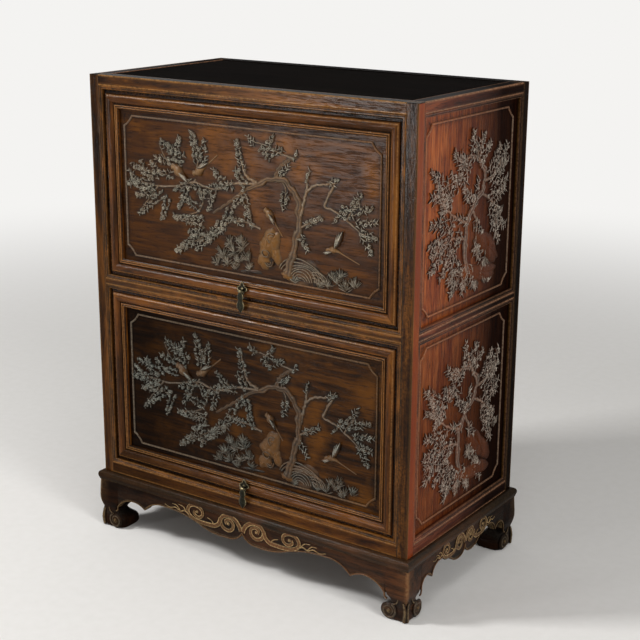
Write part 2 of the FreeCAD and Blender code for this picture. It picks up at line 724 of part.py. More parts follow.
def make_pull(tier, axis_height):
    """Lobed plate, wire staple and swinging pendant at the middle of a door's bottom rail."""
    centre_height = f"({axis_height} + plate_disc_radius / 2)"
    spots = [("0", centre_height, "plate_disc_radius")]
    for x_way, z_way in (("-", ""), ("+", ""), ("", "-"), ("", "+")):
        spot_x = f"{x_way}plate_lobe_reach" if x_way else "0"
        spot_z = f"{centre_height} {z_way} plate_lobe_reach" if z_way else centre_height
        spots.append((spot_x.lstrip("+"), spot_z, "plate_lobe_radius"))
    discs = [rod(f"{tier}_plate_disc_{index}", radius, (spot_x, "-half_depth", spot_z),
                 "plate_thickness", -Y_AXIS)
             for index, (spot_x, spot_z, radius) in enumerate(spots)]
    finish(joined(f"{tier}_plate_group", discs), f"{tier}_pull_plate")

    reach = "staple_standoff"
    wires = [rod(f"{tier}_staple_bar", "staple_wire_radius",
                 ("-staple_half_span - staple_wire_radius", "-staple_axis_depth", axis_height),
                 "2 * (staple_half_span + staple_wire_radius)", X_AXIS)]
    for word, sign in (("left", "-"), ("right", "")):
        wires.append(rod(f"{tier}_staple_leg_{word}", "staple_wire_radius",
                         (f"{sign}staple_half_span", "-plate_front", axis_height),
                         reach, -Y_AXIS))
    finish(joined(f"{tier}_staple_group", wires), f"{tier}_pull_staple")

    body = doc.addObject("PartDesign::Body", f"{tier}_pendant_body")
    sketch = outline(body, f"{tier}_pendant_outline", "XZ_Plane", [pendant_steps()])
    pad(body, f"{tier}_pendant_leaf", sketch, "pendant_thickness", both_ways=True)
    set_place(body, ("0", "-staple_axis_depth", axis_height))
    barrel = rod(f"{tier}_pendant_barrel", "barrel_radius",
                 ("-barrel_half_length", "-staple_axis_depth", axis_height),
                 "2 * barrel_half_length", X_AXIS)
    bore = rod(f"{tier}_pendant_bore", "staple_wire_radius + barrel_play",
               ("-barrel_half_length - cut_overrun", "-staple_axis_depth", axis_height),
               "2 * (barrel_half_length + cut_overrun)", X_AXIS)
    whole = joined(f"{tier}_pendant_whole", [body, barrel])
    finish(cut_from(f"{tier}_pendant", whole, [bore]), f"{tier}_pull_pendant")


def pendant_steps():
    """Gourd-shaped leaf below the barrel, the same on both sides of its middle line."""
    def point(shares, sign):
        x_share, z_share = shares
        return (f"{sign}{x_share} * pendant_half_width", f"-{z_share} * pendant_length")

    steps = [point(PENDANT_NECK_SHARES, "")]
    steps = steps + [(point(middle, ""), point(end, "")) for middle, end in PENDANT_ARC_SHARES]
    mirrored = [PENDANT_NECK_SHARES] + [end for middle, end in PENDANT_ARC_SHARES]
    for index in range(len(PENDANT_ARC_SHARES) - 1, -1, -1):
        middle = PENDANT_ARC_SHARES[index][0]
        steps.append((point(middle, "-"), point(mirrored[index], "-")))
    return steps


def make_base_rails():
    """Mitred frame with a rounded shoulder that carries the case on the stand."""
    section = [("base_rail_width", "0"),
               ("base_rail_width", "base_rail_height"), ("0", "base_rail_height"),
               ("0", "shoulder_radius"),
               (("shoulder_radius * (1 - sqrt(0.5))", "shoulder_radius * (1 - sqrt(0.5))"),
                ("shoulder_radius", "0"))]
    wide, deep = "stand_half_width", "stand_half_depth"
    rails = {
        "front": ((wide, f"-{deep}"), Y_AXIS, f"2 * {wide}"),
        "rear": ((f"-{wide}", deep), -Y_AXIS, f"2 * {wide}"),
        "right": ((wide, deep), -X_AXIS, f"2 * {deep}"),
        "left": ((f"-{wide}", f"-{deep}"), X_AXIS, f"2 * {deep}"),
    }
    for word, ((start_x, start_y), inward, length) in rails.items():
        rail = mitred_bar(f"{word}_base_rail_body", section, "base_rail_width", length)
        set_place(rail, (start_x, start_y, "stand_height"), turned(inward, -Z_AXIS))
        finish(rail, f"{word}_base_rail")


def make_aprons():
    """Cusped aprons between the legs, under the base rails."""
    def steps(half_span):
        def point(shares, sign):
            x_share, z_share = shares
            return (f"{sign}{x_share} * {half_span}", f"-{z_share} * apron_height")

        path = [(half_span, "0"), (f"-{half_span}", "0"),
                point(APRON_ARC_SHARES[-1][1], "-")]
        ends = [(0, APRON_START_SHARE)] + [end for middle, end in APRON_ARC_SHARES]
        for index in range(len(APRON_ARC_SHARES) - 1, -1, -1):
            path.append((point(APRON_ARC_SHARES[index][0], "-"), point(ends[index], "-")))
        for middle, end in APRON_ARC_SHARES:
            path.append((point(middle, ""), point(end, "")))
        return path

    wide, deep = "stand_half_width - apron_setback", "stand_half_depth - apron_setback"
    aprons = {
        "front": (("0", f"-({deep})"), X_AXIS, "apron_half_width"),
        "rear": (("0", deep), -X_AXIS, "apron_half_width"),
        "right": ((wide, "0"), Y_AXIS, "apron_half_depth"),
        "left": ((f"-({wide})", "0"), -Y_AXIS, "apron_half_depth"),
    }
    for word, ((centre_x, centre_y), along, half_span) in aprons.items():
        body = doc.addObject("PartDesign::Body", f"{word}_apron_body")
        sketch = outline(body, f"{word}_apron_outline", "XZ_Plane", [steps(half_span)])
        pad(body, f"{word}_apron_pad", sketch, "apron_thickness", backwards=True)
        set_place(body, (centre_x, centre_y, "base_rail_bottom"),
                  turned(along, Z_AXIS.cross(along)))
        finish(body, f"{word}_apron")


LEG_OUTLINE = [
    ("0", "base_rail_bottom"),
    ("leg_width", "base_rail_bottom"),
    ("leg_width", "ankle_top"),
    (("leg_width - ankle_inset / 2", "foot_height + ankle_inset / 2"),
     ("ankle_inset + ankle_width", "foot_height")),
    (("(ankle_inset + ankle_width + foot_width) / 2 - toe_radius / 2",
      "foot_height * 2 / 3"), ("foot_width", "foot_height / 2")),
    ("foot_width", "toe_radius"),
    (("foot_width - toe_radius * (1 - sqrt(0.5))", "toe_radius * (1 - sqrt(0.5))"),
     ("foot_width - toe_radius", "0")),
    ("toe_radius / 2", "0"),
    (("toe_radius / 2 * (1 - sqrt(0.5))", "toe_radius / 2 * (1 - sqrt(0.5))"),
     ("0", "toe_radius / 2")),
    ("0", "foot_height / 3"),
    (("ankle_inset * 3 / 4", "foot_height * 2 / 3"), ("ankle_inset", "foot_height")),
    (("ankle_inset * 3 / 4", "foot_height * 4 / 3"), ("0", "foot_height * 5 / 3")),
]


def make_legs():
    """Corner legs: the same outline seen from the front and from the side."""
    for x_sign, x_word in (("", "left"), ("-", "right")):
        for y_sign, y_word in (("", "front"), ("-", "rear")):
            label = f"{y_word}_{x_word}_leg"
            views = []
            for role, flip in (("XZ_Plane", x_sign), ("YZ_Plane", y_sign)):
                body = doc.addObject("PartDesign::Body", f"{label}_{role}_view")
                sketch = outline(body, f"{label}_{role}_outline", role, [LEG_OUTLINE], flip)
                pad(body, f"{label}_{role}_pad", sketch, "2 * foot_width", both_ways=True)
                corner_x = "stand_half_width" if x_sign else "-stand_half_width"
                corner_y = "stand_half_depth" if y_sign else "-stand_half_depth"
                set_place(body, (corner_x, corner_y, "0"))
                views.append(body)
            common = doc.addObject("Part::Common", f"{label}_common")
            common.Base, common.Tool = views
            finish(common, label)


make_posts()
make_rails()
make_boards()
make_side_panels()
make_guides()
make_door("upper")
make_door("lower")
make_base_rails()
make_aprons()
make_legs()
doc.recompute()

# Nothing is written unless every object and every piece is sound.
for thing in doc.Objects:
    if "Invalid" in thing.State or "Error" in thing.State:
        raise RuntimeError(f"{thing.Label} failed: {thing.State}")
for thing in finished:
    if thing.Shape.isNull() or not thing.Shape.isValid() or not thing.Shape.Solids:
        raise RuntimeError(f"{thing.Label} has no valid shape")
for thing in finished:
    thing.Shape.exportStep(f"parts/{thing.Label}.step")
print(len(finished), "pieces written")
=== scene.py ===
"""Looks of a two-tier carved hardwood cabinet whose doors swing up and slide back into the case.

The shapes are surfaces worked out with arrays. The cabinet's measures are in millimetres in its own
frame, with the floor at zero height and the front towards minus y, and become metres when a piece is
made. The studio's measures are in metres. A solid is its points, its faces and, for each point, its
dust, rubbing, grime and warm tone; the rubbing and the pale dust on crests are partly painted
highlights, and the grime is partly painted shade.
"""

import logging
import math
from dataclasses import dataclass, replace
from enum import Enum

import bmesh
import bpy
import numpy as np
from mathutils import Matrix, Vector


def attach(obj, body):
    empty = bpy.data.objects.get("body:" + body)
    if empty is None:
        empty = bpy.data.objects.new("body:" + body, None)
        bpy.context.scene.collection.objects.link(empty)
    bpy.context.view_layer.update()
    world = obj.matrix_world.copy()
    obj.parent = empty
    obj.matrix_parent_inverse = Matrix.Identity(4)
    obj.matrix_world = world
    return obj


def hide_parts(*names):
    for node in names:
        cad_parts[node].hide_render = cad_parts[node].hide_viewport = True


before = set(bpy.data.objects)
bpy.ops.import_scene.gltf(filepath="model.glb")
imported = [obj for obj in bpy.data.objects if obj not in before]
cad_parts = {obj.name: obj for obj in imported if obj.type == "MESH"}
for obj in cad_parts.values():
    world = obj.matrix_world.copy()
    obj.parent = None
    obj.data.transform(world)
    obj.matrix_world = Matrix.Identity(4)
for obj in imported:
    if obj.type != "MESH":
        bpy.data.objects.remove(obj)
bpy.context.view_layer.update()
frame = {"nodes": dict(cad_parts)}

log = logging.getLogger("cabinet")
Array = np.ndarray
Solid = tuple[Array, list[Array], Array]
MM = 0.001
WHITE = "#f4f3f1"
ARC_STEPS = 10
NEARLY_STRAIGHT = -0.88
WORN_TURN = 1.6
FILLED_TURN = 1.1
RIB_ANGLES = np.radians([-28, 8, 35, 65, 90, 115, 145, 172, 208])
DOME_RINGS = np.array([0.06, 0.3, 0.55, 0.75, 0.9, 1.0, 1.03])
DOME_STEPS = 44
PETALS = 5
TWIG_SPAN = 5.4
FAN_LEAVES = 22
BOARD_CELL = 2.6


# Finishes


def linear(hex_colour: str) -> tuple[float, float, float, float]:
    """Turn an sRGB hex colour into linear light: each channel by the sRGB curve.

    Args:
        hex_colour: Colour such as "#5f3b20".

    Returns:
        Red, green, blue and an alpha of one.
    """
    channels = [int(hex_colour[i : i + 2], 16) / 255 for i in (1, 3, 5)]
    lit = [c / 12.92 if c <= 0.04045 else ((c + 0.055) / 1.055) ** 2.4 for c in channels]
    return lit[0], lit[1], lit[2], 1.0


def add(tree: bpy.types.NodeTree, kind: str, inputs: dict | None = None,
        stops: tuple = (), **settings: object) -> bpy.types.Node:
    """Add one node with its settings, links and, for a ramp, its colour stops.

    Args:
        tree: Node tree that the node goes into.
        kind: Type of the node, without the words that all types begin with.
        inputs: By name or number, an input's value, its socket or the node whose first output feeds it.
        stops: Pairs of place and linear colour for a colour ramp.
        settings: Properties of the node.

    Returns:
        The new node.
    """
    node = tree.nodes.new("ShaderNode" + kind)
    for name, setting in settings.items():
        setattr(node, name, setting)
    for key, given in (inputs or {}).items():
        if isinstance(given, bpy.types.Node):
            tree.links.new(given.outputs[0], node.inputs[key])
        elif isinstance(given, bpy.types.NodeSocket):
            tree.links.new(given, node.inputs[key])
        else:
            node.inputs[key].default_value = given
    for place, colour in stops[2:]:
        node.color_ramp.elements.new(place)
    for element, (place, colour) in zip(node.color_ramp.elements if stops else (), sorted(stops)):
        element.position = place
        element.color = colour
    return node


def emptied(holder: bpy.types.ID) -> bpy.types.NodeTree:
    """Switch a material or a world to nodes and empty its tree.

    Args:
        holder: Material or world.

    Returns:
        The emptied tree.
    """
    holder.use_nodes = True
    holder.node_tree.nodes.clear()
    return holder.node_tree


class Grain(Enum):
    """Direction of the wood's fibres, as the share of the pattern's scale kept on each axis."""

    ALONG_X = (0.09, 1.0, 1.0)
    ALONG_Y = (1.0, 0.09, 1.0)
    ALONG_Z = (1.0, 1.0, 0.09)
    CURLED = (0.35, 0.35, 0.35)


@dataclass(frozen=True)
class AgedHardwood:
    """Dense dark hardwood, stained, waxed and worn by hands.

    Long bands of figure run with the fibres, open pores hold dark wax, recesses keep grime and grey
    dust with painted shade, and high places are rubbed back to a lighter, smoother brown that is also a
    painted highlight. Painted shade darkens it along an axis, from a first to a last place in millimetres
    and by a greatest share, and dulls its sheen there.
    """

    label: str
    deep: str
    body: str
    light: str
    patch: str
    rubbed_and_highlight: str
    warm: str = "#7a4218"
    dust: str = "#6e685e"
    grime_and_shade: str = "#080504"
    roughness: float = 0.3
    dusty_roughness: float = 0.62
    specular: float = 0.09
    figure_mm: float = 14.0
    # Real pores are about 0.3 mm wide; they are drawn wider so that they show at this distance.
    pore_mm: float = 1.9
    patch_mm: float = 110.0
    speck_mm: float = 10 / 3
    pore_depth_mm: float = 0.6
    relief: float = 0.35
    darker: tuple = ()
    slot: str = "dark_hardwood"

    def dress(self, grain: Grain) -> bpy.types.Material:
        """Build the finish for one direction of the fibres, or give the one already built.

        Args:
            grain: Direction of the fibres.

        Returns:
            The material.
        """
        name = f"{self.label}_{grain.name.lower()}"
        if name in bpy.data.materials:
            return bpy.data.materials[name]
        material = bpy.data.materials.new(name)
        tree = emptied(material)
        place = add(tree, "TexCoord").outputs["Object"]
        laid = add(tree, "Mapping", {"Vector": place, "Scale": grain.value})
        figure, mottle, pores, specks = (
            add(tree, "TexNoise", {"Vector": where, "Scale": 1000 / size, "Detail": detail,
                                   "Roughness": rough, "Distortion": bent})
            for where, size, detail, rough, bent in (
                (laid, self.figure_mm, 6.0, 0.62, 0.5), (place, self.patch_mm, 3.0, 0.55, 0.0),
                (laid, self.pore_mm, 3.0, 0.6, 0.0), (place, self.speck_mm, 3.0, 0.65, 0.0)))
        patchy, open_pore, uneven = (
            add(tree, "MapRange", {"Value": noise, "From Min": low, "From Max": high, "To Min": least,
                                   "To Max": most})
            for noise, low, high, least, most in (
                (mottle, 0.5, 0.72, 0.0, 0.75), (pores, 0.47, 0.33, 0.0, 0.62),
                (specks, 0.35, 0.62, 0.25, 1.0)))
        tone = add(tree, "Attribute", attribute_name="tone").outputs["Fac"]
        covers = [(patchy, self.patch), (open_pore, self.grime_and_shade), (tone, self.warm)]
        apart = add(tree, "SeparateXYZ", {"Vector": place}).outputs
        shine = self.specular
        # Painted shade: each gradient mixes in the dark colour and takes away sheen.
        for axis, first, last, most in self.darker:
            painted_shade = add(tree, "MapRange", {"Value": apart[axis], "From Min": first * MM,
                                          "From Max": last * MM, "To Max": most})
            covers.append((painted_shade, self.grime_and_shade))
            kept = add(tree, "Math", {0: 1.0, 1: painted_shade}, operation="SUBTRACT")
            shine = add(tree, "Math", {0: kept, 1: shine}, operation="MULTIPLY")
        patina = add(tree, "Attribute", attribute_name="patina").outputs["Vector"]
        parts = add(tree, "SeparateXYZ", {"Vector": patina}).outputs
        amounts = {}
        # Rubbing with its painted highlight, grime with its painted shade, and dust, each broken by specks.
        for channel, shade, strength in (
                ("Y", self.rubbed_and_highlight, 0.85), ("Z", self.grime_and_shade, 0.9), ("X", self.dust, 0.85)):
            amount = add(tree, "Math", {0: parts[channel], 1: uneven}, operation="MULTIPLY")
            amounts[channel] = add(tree, "Math", {0: amount, 1: strength}, operation="MULTIPLY",
                                   use_clamp=True)
            covers.append((amounts[channel], shade))
        colour = add(tree, "ValToRGB", {"Fac": figure}, stops=(
            (0.37, linear(self.deep)), (0.50, linear(self.body)), (0.64, linear(self.light))))
        for amount, shade in covers:
            colour = add(tree, "Mix", {0: amount, 6: colour, 7: linear(shade)}, data_type="RGBA").outputs[2]
        duller = add(tree, "MapRange", {"Value": amounts["X"], "To Min": self.roughness,
                                      "To Max": self.dusty_roughness})
        smoother = add(tree, "Math", {0: amounts["Y"], 1: 0.1}, operation="MULTIPLY")
        gloss = add(tree, "Math", {0: duller, 1: smoother}, operation="SUBTRACT")
        hollow = add(tree, "Math", {0: open_pore, 1: specks}, operation="SUBTRACT")
        bump = add(tree, "Bump", {"Height": hollow, "Strength": self.relief,
                                  "Distance": self.pore_depth_mm * MM}, invert=True)
        surface = add(tree, "BsdfPrincipled", {"Base Color": colour, "Roughness": gloss, "Normal": bump,
                                               "Specular IOR Level": shine})
        add(tree, "OutputMaterial", {"Surface": surface})
        return material


@dataclass(frozen=True)
class AgedBronze:
    """Cast brass alloy gone dark with age: brown skin, green in the hollows, yellow where it is rubbed."""

    label: str = "aged_cast_bronze"
    skin: str = "#1b1712"
    green: str = "#2a2b22"
    bright: str = "#b3a37c"
    hollow: str = "#1a1711"
    blotch_mm: float = 1000 / 420
    slot: str = "aged_bronze"

    def dress(self, grain: Grain) -> bpy.types.Material:
        """Build the finish once.

        Args:
            grain: Unused direction, so that every finish is asked for in the same way.

        Returns:
            The material.
        """
        if self.label in bpy.data.materials:
            return bpy.data.materials[self.label]
        material = bpy.data.materials.new(self.label)
        tree = emptied(material)
        place = add(tree, "TexCoord").outputs["Object"]
        blotch = add(tree, "TexNoise", {"Vector": place, "Scale": 1000 / self.blotch_mm, "Detail": 4.0})
        colour = add(tree, "ValToRGB", {"Fac": blotch}, stops=(
            (0.38, linear(self.skin)), (0.60, linear(self.green))))
        patina = add(tree, "Attribute", attribute_name="patina").outputs["Vector"]
        parts = add(tree, "SeparateXYZ", {"Vector": patina}).outputs
        left, gloss = (
            add(tree, "MapRange", {"Value": blotch, "From Min": low, "From Max": high, "To Min": least,
                                   "To Max": most})
            for low, high, least, most in ((0.58, 0.44, 0.3, 1.0), (0.3, 0.7, 0.28, 0.5)))
        worn = add(tree, "Math", {0: parts["Y"], 1: left}, operation="MULTIPLY", use_clamp=True)
        for amount, shade in ((worn, self.bright), (parts["Z"], self.hollow)):
            colour = add(tree, "Mix", {0: amount, 6: colour, 7: linear(shade)}, data_type="RGBA").outputs[2]
        bump = add(tree, "Bump", {"Height": blotch, "Strength": 0.3, "Distance": 0.0004})
        surface = add(tree, "BsdfPrincipled", {"Base Color": colour, "Metallic": 1.0, "Roughness": gloss,
                                               "Normal": bump})
        add(tree, "OutputMaterial", {"Surface": surface})
        return material


Finish = AgedHardwood | AgedBronze

# Waxed case: dark brown with a low even sheen; painted shade makes it blacker towards the back, on its top
# faces and on the left.
CASE_WOOD = AgedHardwood("waxed_hardwood_case", "#1a0c04", "#45270c", "#74461a", "#6a4118", "#966a3a",
                         warm="#8c3812", roughness=0.2,
                         darker=(("Z", 767.6, 768.6, 0.98), ("Y", -120, 120, 0.95), ("X", -266, -292, 0.5)))
# The case's side rails: the same wax over redder wood, whose red is partly a painted light; painted shade
# blackens their top faces and soon darkens them towards the back.
RED_CASE_WOOD = AgedHardwood("waxed_red_hardwood_case", "#2a0f07", "#552615", "#783e24", "#6b2f18",
                             "#a07558", darker=(("Z", 767.6, 768.6, 0.98), ("Y", -150, 80, 0.96)))
# Door frames: lighter golden brown that shines along its rounded moulding; painted shade darkens the upper
# door's frame towards its top.
FRAME_WOOD = AgedHardwood("waxed_hardwood_door_frame", "#261204", "#4e2a0d", "#724518", "#6c3e12",
                          "#9a6c3c", roughness=0.22, darker=(("Z", 712, 738, 0.3),))
# The lowest rails: the frames' wood, darkened towards the left as painted shade.
LOW_FRAME_WOOD = replace(FRAME_WOOD, label="waxed_hardwood_lowest_rails", darker=(("X", 200, -210, 0.76),))

# Polished ground of the upper door: smooth warm board that shows between the carving, darker towards the
# bottom and the left as painted shade.
GROUND_WOOD = AgedHardwood("polished_hardwood_upper_field", "#341c08", "#442509", "#58320c", "#744410",
                           "#8f6438", roughness=0.25, figure_mm=9.0, patch_mm=60.0, slot="carved_panel",
                           darker=(("Z", 620, 470, 0.3), ("X", 20, -240, 0.28)))
# Ground of the lower door: deeper brown, with less sheen and darker on the left as painted shade.
LOW_GROUND_WOOD = AgedHardwood("polished_hardwood_lower_field", "#1c0f05", "#301a08", "#482a0c", "#5e3810",
                               "#80603c", roughness=0.26, specular=0.06, figure_mm=9.0, patch_mm=60.0,
                               slot="carved_panel", darker=(("X", 100, -200, 0.78),))
# Ground of the side fields: glowing red brown, partly the wood and partly a painted light, with painted shade
# towards the back and the bottom.
SIDE_WOOD = AgedHardwood("red_hardwood_side_field", "#63260e", "#85401c", "#a65c2e", "#9a5122", "#b88460",
                         figure_mm=6.0, patch_mm=80.0, slot="carved_panel",
                         darker=(("Y", -110, 92, 0.96), ("Z", 460, 330, 0.45)))

# Hand-carved relief: pale dust lies on the crests, where it is also a painted highlight, and the proud birds
# and rocks are rubbed warm.
CARVED_WOOD = AgedHardwood("carved_hardwood", "#1c1208", "#442b16", "#664321", "#6b4620", "#b39c78",
                           warm="#6c4514", dust="#ccc8b6", roughness=0.33, specular=0.14, figure_mm=8.0,
                           patch_mm=45.0, relief=0.6, slot="carved_panel")
# Relief of the lower door: the same wear on darker wood, with greyer dust, and painted shade towards the
# left.
LOW_CARVED_WOOD = replace(CARVED_WOOD, label="carved_hardwood_lower", deep="#140d06", body="#38230f",
                          light="#553618", patch="#5c3b1a", rubbed_and_highlight="#94826a", warm="#5c3a12",
                          dust="#a6aaa0", darker=(("X", 120, -230, 0.35),))
# Relief of the sides: redder wood, partly a painted light, with brighter worn crests that are also painted
# highlights, and painted shade towards the back.
RED_CARVED_WOOD = replace(CARVED_WOOD, label="carved_red_hardwood", deep="#2a0f07", body="#5c2a17",
                          light="#86492c", patch="#844a28", rubbed_and_highlight="#c0aa86", warm="#84420f",
                          dust="#c8bdaf", roughness=0.34, specular=0.1, darker=(("Y", -110, 130, 0.82),))

# Stand: near black with rubbed tan edges that are also painted highlights, and painted shade towards the back
# and the left.
STAND_WOOD = AgedHardwood("waxed_hardwood_stand", "#140b06", "#2e1a0d", "#4a2b16", "#5b3319", "#c8a674",
                          warm="#6e341a", figure_mm=12.0, patch_mm=70.0,
                          darker=(("Y", -172, 100, 0.85), ("X", 260, -210, 0.8)))
# Top board: near black, a painted shade over the whole top, and quite matt, so that it gives back no light.
TOP_WOOD = AgedHardwood("blackened_hardwood_top", "#050403", "#080605", "#0e0a08", "#0b0806", "#3c2a1c",
                        roughness=0.75, specular=0.002)
# Inside: bare sawn boards, lighter and dull.
INNER_WOOD = AgedHardwood("plain_sawn_inner_wood", "#3c2512", "#5e3e22", "#785431", "#6b4829", "#7e5f3c",
                          roughness=0.62, specular=0.1)
# Pulls: dark brown cast metal with yellow glints on its edges.
BRONZE = AgedBronze()


# Arrays


def full_turn(count: int) -> Array:
    """Even angles of a full turn, without the last."""
    return np.linspace(0, 2 * np.pi, count, endpoint=False)


def spoke(angle: Array) -> Array:
    """Directions of length one at the angles: cosine, then sine."""
    return np.stack([np.cos(angle), np.sin(angle)], -1)


def unit(ways: Array) -> Array:
    """Directions of length one: each way divided by its length."""
    return ways / np.maximum(np.linalg.norm(ways, axis=-1, keepdims=True), 1e-9)


def leftward(ways: Array) -> Array:
    """Ways turned a quarter to the left: minus the second measure, then the first."""
    return np.stack([-ways[..., 1], ways[..., 0]], -1)


def bell(distance: Array, width: float) -> Array:
    """Bell curve: the exponential of minus the square of the distance over the width."""
    return np.exp(-((distance / width) ** 2))


def grid(*measures: Array | float) -> Array:
    """Rows of numbers from measures that spread over one grid, such as its points or its wear."""
    return np.stack(np.broadcast_arrays(*measures), -1).reshape(-1, len(measures))


def raised(flat: Array, height: Array) -> Array:
    """Points of a flat grid (rows, columns, 2), each with its height."""
    return grid(flat[..., 0], flat[..., 1], height)


def arc(start: Array, middle: Array, end: Array) -> Array:
    """Points of the circle through three points: centre plus radius times cosine and sine of even angles.

    Args:
        start: First point.
        middle: Point that the arc passes.
        end: Last point.

    Returns:
        Points from start to end.
    """
    three = np.array([start, middle, end], float)
    squares = (three[1:] ** 2).sum(1) - (three[0] ** 2).sum()
    centre = np.linalg.solve(2 * (three[1:] - three[0]), squares)
    spokes = three - centre
    angles = np.unwrap(np.arctan2(spokes[:, 1], spokes[:, 0]))
    return centre + np.hypot(*spokes[0]) * spoke(np.linspace(angles[0], angles[2], ARC_STEPS))


def trace(steps: list) -> Array:
    """Follow straight steps and arcs; a pair of points is an arc's middle and end.

    Args:
        steps: Points, or pairs of points for arcs.

    Returns:
        The points passed, in order.
    """
    runs = [np.array([steps[0]], float)]
    for step in steps[1:]:
        curved = isinstance(step[0], tuple)
        runs.append(arc(runs[-1][-1], *step)[1:] if curved else np.array([step], float))
    return np.concatenate(runs)


def smooth_path(points: Array | list | tuple, per_span: int = 6) -> Array:
    """Curve through the points: on each span the cubic whose end slopes are half the chord across them.

    Args:
        points: Points to pass, in any number of dimensions.
        per_span: Points on each span.

    Returns:
        Points along the curve.
    """
    known = np.asarray(points, float)
    padded = np.concatenate([2 * known[:1] - known[1:2], known, 2 * known[-1:] - known[-2:-1]])
    slopes = (padded[2:] - padded[:-2]) / 2
    t = (np.arange(per_span) / per_span)[None, :, None]
    a, b = known[:-1, None], known[1:, None]
    first, second = slopes[:-1, None], slopes[1:, None]
    spans = ((2 * t**3 - 3 * t**2 + 1) * a + (t**3 - 2 * t**2 + t) * first
             + (3 * t**2 - 2 * t**3) * b + (t**3 - t**2) * second)
    return np.concatenate([spans.reshape(-1, known.shape[1]), known[-1:]])


def soften(outline: Array, radius: float, steps: int = 4) -> Array:
    """Round the corners of a closed outline with quadratic curves that start a radius before each corner.

    Args:
        outline: Closed outline, points (n, 2).
        radius: Distance from a corner at which its curve starts, at most 0.45 of the edge.
        steps: Points on each rounded corner.

    Returns:
        The softened outline.
    """
    before, after = np.roll(outline, 1, 0) - outline, np.roll(outline, -1, 0) - outline
    long_before, long_after = (np.linalg.norm(edge, axis=1, keepdims=True) for edge in (before, after))
    sharp = np.sum(before * after, 1) / (long_before * long_after)[:, 0] > NEARLY_STRAIGHT
    start = outline + before / long_before * np.minimum(radius, 0.45 * long_before)
    end = outline + after / long_after * np.minimum(radius, 0.45 * long_after)
    t = np.linspace(0, 1, steps)[None, :, None]
    curve = (1 - t) ** 2 * start[:, None] + 2 * t * (1 - t) * outline[:, None] + t**2 * end[:, None]
    curve = np.where(sharp[:, None, None], curve, outline[:, None])
    return curve[sharp[:, None] | (np.arange(steps) == 0)[None]]


def divide(outline: Array, longest: float) -> Array:
    """Split the edges of a closed outline evenly so that none is longer than the given length.

    Args:
        outline: Closed outline, points (n, 2).
        longest: Longest edge.

    Returns:
        The divided outline.
    """
    edges = np.roll(outline, -1, 0) - outline
    counts = np.maximum(1, np.ceil(np.linalg.norm(edges, axis=1) / longest)).astype(int)
    first = np.repeat(np.cumsum(counts) - counts, counts)
    share = (np.arange(counts.sum()) - first) / np.repeat(counts, counts)
    return np.repeat(outline, counts, 0) + np.repeat(edges, counts, 0) * share[:, None]


# Mouldings


@dataclass(frozen=True)
class Section:
    """Closed section of a moulding, as distance inward and depth into the wood, with its patina."""

    points: Array
    patina: Array

    @staticmethod
    def cut(steps: list, soft: float = 0.5, longest: float = 2.5, reach: float = 1.6,
            keep: tuple = (1, 1, 1, 1)) -> "Section":
        """Cut a section: outer corners are rubbed and carry a painted highlight, inner corners hold grime,
        dust and painted shade.

        A point's rubbing, which is also a painted highlight, is the sum of the outward turns near it, each
        less the further it is by a bell curve, and its grime, which is also painted shade, is the same sum of
        the inward turns.

        Args:
            steps: Straight steps and arcs of the outline.
            soft: Radius of the softened corners.
            longest: Longest edge after dividing.
            reach: Distance over which a corner's wear fades.
            keep: Share that stays of the dust, the rubbing with its painted highlight, the grime with its
                painted shade and the tone.

        Returns:
            The section.
        """
        outline = divide(soften(trace(steps), soft), longest)
        before, after = outline - np.roll(outline, 1, 0), np.roll(outline, -1, 0) - outline
        cross = before[:, 0] * after[:, 1] - before[:, 1] * after[:, 0]
        x, y = outline.T
        area = np.sum(x * np.roll(y, -1) - y * np.roll(x, -1))
        turn = np.arctan2(cross, np.sum(before * after, 1)) * np.sign(area)
        near = bell(np.linalg.norm(outline[:, None] - outline[None], axis=2), reach)
        rubbed_and_highlight = np.clip(near @ np.maximum(turn, 0) / WORN_TURN, 0, 1)
        grime_and_shade = np.clip(near @ np.maximum(-turn, 0) / FILLED_TURN, 0, 1)
        return Section(outline, grid(0.55 * grime_and_shade, rubbed_and_highlight * (1 - grime_and_shade), 0.9 * grime_and_shade, 0) * keep)


class Face(Enum):
    """Sides of the cabinet, as the directions along, up and out of each."""

    FRONT = ((1, 0, 0), (0, 0, 1), (0, -1, 0))
    REAR = ((-1, 0, 0), (0, 0, 1), (0, 1, 0))
    RIGHT = ((0, 1, 0), (0, 0, 1), (1, 0, 0))
    LEFT = ((0, -1, 0), (0, 0, 1), (-1, 0, 0))
    TOP = ((1, 0, 0), (0, 1, 0), (0, 0, 1))


@dataclass(frozen=True)
class Surface:
    """Flat working surface: one side of the cabinet and the point that its measures start from."""

    face: Face
    origin: tuple[float, float, float]

    def place(self, points: Array) -> Array:
        """Move points (along, up, out) into the cabinet's frame: origin plus each measure along its way."""
        return np.asarray(self.origin) + points @ np.asarray(self.face.value, float)

    def settle(self, solid: Solid, way: int = 1) -> Solid:
        """Place a solid, turned the other way round along the surface where way is minus one."""
        points, faces, patina = solid
        return self.place(points * (way, 1, 1)), faces, patina


def ring_faces(rows: int, columns: int, looped: bool = False) -> list[Array]:
    """Faces of a grid whose columns close on themselves, with capped ends or rows that close as well.

    Args:
        rows: Number of sections.
        columns: Points on each section.
        looped: Whether the last section joins the first.

    Returns:
        Arrays of vertex numbers, one row for each face.
    """
    index = np.arange(rows * columns).reshape(rows, columns)
    here = index if looped else index[:-1]
    there = np.roll(index, -1, 0) if looped else index[1:]
    quads = np.stack([here, np.roll(here, -1, 1), np.roll(there, -1, 1), there], -1).reshape(-1, 4)
    return [quads] if looped else [quads, index[:1, ::-1], index[-1:]]


